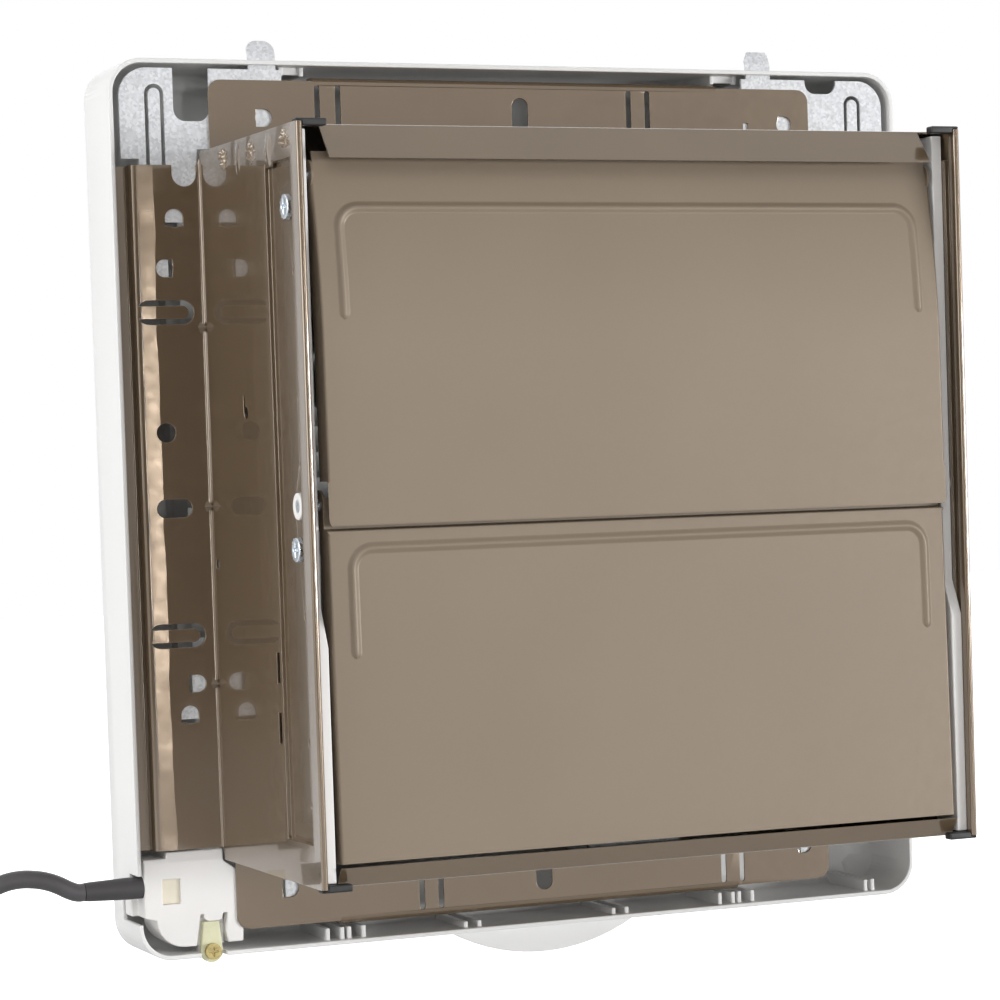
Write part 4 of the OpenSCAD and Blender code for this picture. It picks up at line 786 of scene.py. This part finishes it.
# Motor: a two-part steel casing with a coat of grey, the laminated core, copper windings, oiled
# bronze bearings, rotor and shaft.
casing = Finish("grey_casing", tone(142, 145, 148), 0.45, 0.4)
casing.shade(casing.noise(60), 0.92, 1.06)
casing.bump(casing.noise(900), 0.00003, 0.4)
dress(casing, "motor_rear_shell", "motor_front_shell")
core_steel = Finish("core_laminations", tone(96, 98, 102), 0.5, 0.8)
core_steel.shade(core_steel.noise(300, 2, (1, 8, 1)), 0.8, 1.15)
core_steel.bump(core_steel.noise(300, 2, (0.2, 12, 0.2)), 0.0001, 0.6)
dress(core_steel, "stator_core", "rotor_core")
copper = Finish("enamelled_copper", tone(172, 96, 48), 0.35, 0.7)
copper.shade(copper.noise(900, 2, (1, 0.1, 1)), 0.75, 1.2)
copper.bump(copper.noise(900, 2, (1, 0.1, 1)), 0.0003, 0.7)
dress(copper, "stator_winding")
bronze = Finish("oiled_bronze", tone(176, 141, 87), 0.4, 1.0)
bronze.shade(bronze.noise(700), 0.85, 1.1)
dress(bronze, "rear_bearing", "front_bearing")
ground_steel = Finish("ground_steel", tone(213, 215, 218), 0.2, 1.0)
ground_steel.shade(ground_steel.noise(400), 0.92, 1.05)
dress(ground_steel, "rotor_shaft", "return_spring")


# Wiring inside: the run capacitor in a dark case with red leads, and the grey PVC lead from the motor
# to the terminals.
capacitor_case = Finish("capacitor_case", tone(60, 64, 70), 0.5)
capacitor_case.shade(capacitor_case.noise(150), 0.9, 1.1)
dress(capacitor_case, "capacitor")
lead_red = Finish("red_insulation", tone(140, 47, 42), 0.45)
lead_red.shade(lead_red.noise(200), 0.9, 1.1)
dress(lead_red, "capacitor_leads")
cord_grey = Finish("grey_pvc", tone(82, 82, 86), 0.45)
cord_grey.shade(cord_grey.noise(200), 0.9, 1.1)
dress(cord_grey, "motor_lead")


# Studio: a pale floor under the fan, a white surround, and large soft lamps at a plain level. Here all
# lengths are in metres.
white = (1, 1, 1, 1)
pale = (0.86, 0.86, 0.86, 1)
floor_half = 6
floor_gap = 0.0005
shade_from = 0.35
shade_to = 1.1
shaded_glow = 0.3


def wired(tree, operation, first, second):
    """A math node on two values, each an output of another node or a number."""
    made = tree.nodes.new("ShaderNodeMath")
    made.operation = operation
    for socket, value in zip(made.inputs, (first, second)):
        if isinstance(value, float):
            socket.default_value = value
        else:
            tree.links.new(value, socket)
    return made.outputs[0]


floor_bm = bmesh.new()
bmesh.ops.create_grid(floor_bm, x_segments=1, y_segments=1, size=floor_half)
bmesh.ops.translate(floor_bm, vec=(0, 0, cad_box[0].z - floor_gap), verts=floor_bm.verts)
floor = piece_from("floor", floor_bm)
bpy.context.scene.collection.objects.link(floor)
floor_paint = bpy.data.materials.new("studio_floor")
floor_paint.use_nodes = True
tree = floor_paint.node_tree
matt = tree.nodes["Principled BSDF"]
matt.inputs["Base Color"].default_value = pale
matt.inputs["Roughness"].default_value = 0.9
# the camera sees the floor glow in full, and the glossy sheet mirrors a share of that
mirrored_share = 0.6
seen = tree.nodes.new("ShaderNodeLightPath")
mirrored = wired(tree, "MULTIPLY", seen.outputs["Is Glossy Ray"], mirrored_share)
shown_share = wired(tree, "MAXIMUM", seen.outputs["Is Camera Ray"], mirrored)
where = tree.nodes.new("ShaderNodeTexCoord")
away = tree.nodes.new("ShaderNodeVectorMath")
away.operation = "LENGTH"
tree.links.new(where.outputs["Object"], away.inputs[0])
fade = tree.nodes.new("ShaderNodeMapRange")
fade.interpolation_type = "SMOOTHSTEP"
fade.inputs["From Min"].default_value = shade_from
fade.inputs["From Max"].default_value = shade_to
fade.inputs["To Min"].default_value = shaded_glow
fade.inputs["To Max"].default_value = 1.0
tree.links.new(away.outputs["Value"], fade.inputs["Value"])
glow = wired(tree, "MULTIPLY", shown_share, fade.outputs["Result"])
matt.inputs["Emission Color"].default_value = white
tree.links.new(glow, matt.inputs["Emission Strength"])
floor.data.materials.append(floor_paint)

# Dark screen behind the camera. The glossy sheet mirrors it, while a camera that looks its way sees
# plain white.
near_black = (0.02, 0.02, 0.02, 1)
screen_w = 2
screen_h = 2.2
screen_at = (-1.35, -2.9, 0.35)
screen_bm = bmesh.new()
bmesh.ops.create_grid(screen_bm, x_segments=1, y_segments=1, size=0.5)
bmesh.ops.scale(screen_bm, vec=(screen_w, screen_h, 1), verts=screen_bm.verts)
stand_up = Matrix.Translation(screen_at) @ Matrix.Rotation(-math.pi / 2, 4, "X")
bmesh.ops.transform(screen_bm, matrix=stand_up, verts=screen_bm.verts)
screen = piece_from("dark_screen", screen_bm)
bpy.context.scene.collection.objects.link(screen)
screen_cloth = bpy.data.materials.new("dark_cloth")
screen_cloth.use_nodes = True
tree = screen_cloth.node_tree
cloth = tree.nodes["Principled BSDF"]
cloth.inputs["Base Color"].default_value = near_black
cloth.inputs["Roughness"].default_value = 0.9
cloth.inputs["Emission Color"].default_value = white
looked_at = tree.nodes.new("ShaderNodeLightPath")
tree.links.new(looked_at.outputs["Is Camera Ray"], cloth.inputs["Emission Strength"])
screen.data.materials.append(screen_cloth)

# The surround is plain white to look at and in mirrors, and lights the fan only faintly.
ambient = 0.22
surround = bpy.data.worlds.new("studio")
surround.use_nodes = True
tree = surround.node_tree
fill = tree.nodes["Background"]
fill.inputs["Color"].default_value = white
path = tree.nodes.new("ShaderNodeLightPath")
shown = wired(tree, "MAXIMUM", path.outputs["Is Camera Ray"], path.outputs["Is Glossy Ray"])
clear = wired(tree, "MAXIMUM", shown, path.outputs["Is Transmission Ray"])
strength = tree.nodes.new("ShaderNodeMapRange")
strength.inputs["To Min"].default_value = ambient
strength.inputs["To Max"].default_value = 1.0
tree.links.new(clear, strength.inputs["Value"])
tree.links.new(strength.outputs["Result"], fill.inputs["Strength"])
bpy.context.scene.world = surround


def softbox(name, place, aim, width, height, power):
    """A rectangular lamp turned towards aim. Its power is in watts."""
    data = bpy.data.lights.new(name, "AREA")
    data.shape = "RECTANGLE"
    data.size = width
    data.size_y = height
    data.energy = power
    lamp = bpy.data.objects.new(name, data)
    bpy.context.scene.collection.objects.link(lamp)
    lamp.location = place
    lamp.rotation_euler = (Vector(aim) - Vector(place)).to_track_quat("-Z", "Y").to_euler()


# the narrow strip lamp shows in the hollow beside the left flange's rolled edge
fan_centre = (0, 0, 0)
left_flange = (-0.139, 0, 0)
softbox("key_lamp", (-2.2, -0.15, 0.7), fan_centre, 1.3, 1.5, 35)
softbox("front_lamp", (4.0, -3.4, 0), fan_centre, 2.0, 0.55, 165)
softbox("fill_lamp", (-1.0, -2.3, 1.1), fan_centre, 1, 1, 12)
softbox("strip_lamp", (-0.225, -2.9, -0.12), left_flange, 0.16, 0.76, 10)
softbox("back_lamp", (0.9, 2.0, 0.9), fan_centre, 1.8, 1.4, 9)

bpy.context.scene.view_settings.view_transform = "Standard"
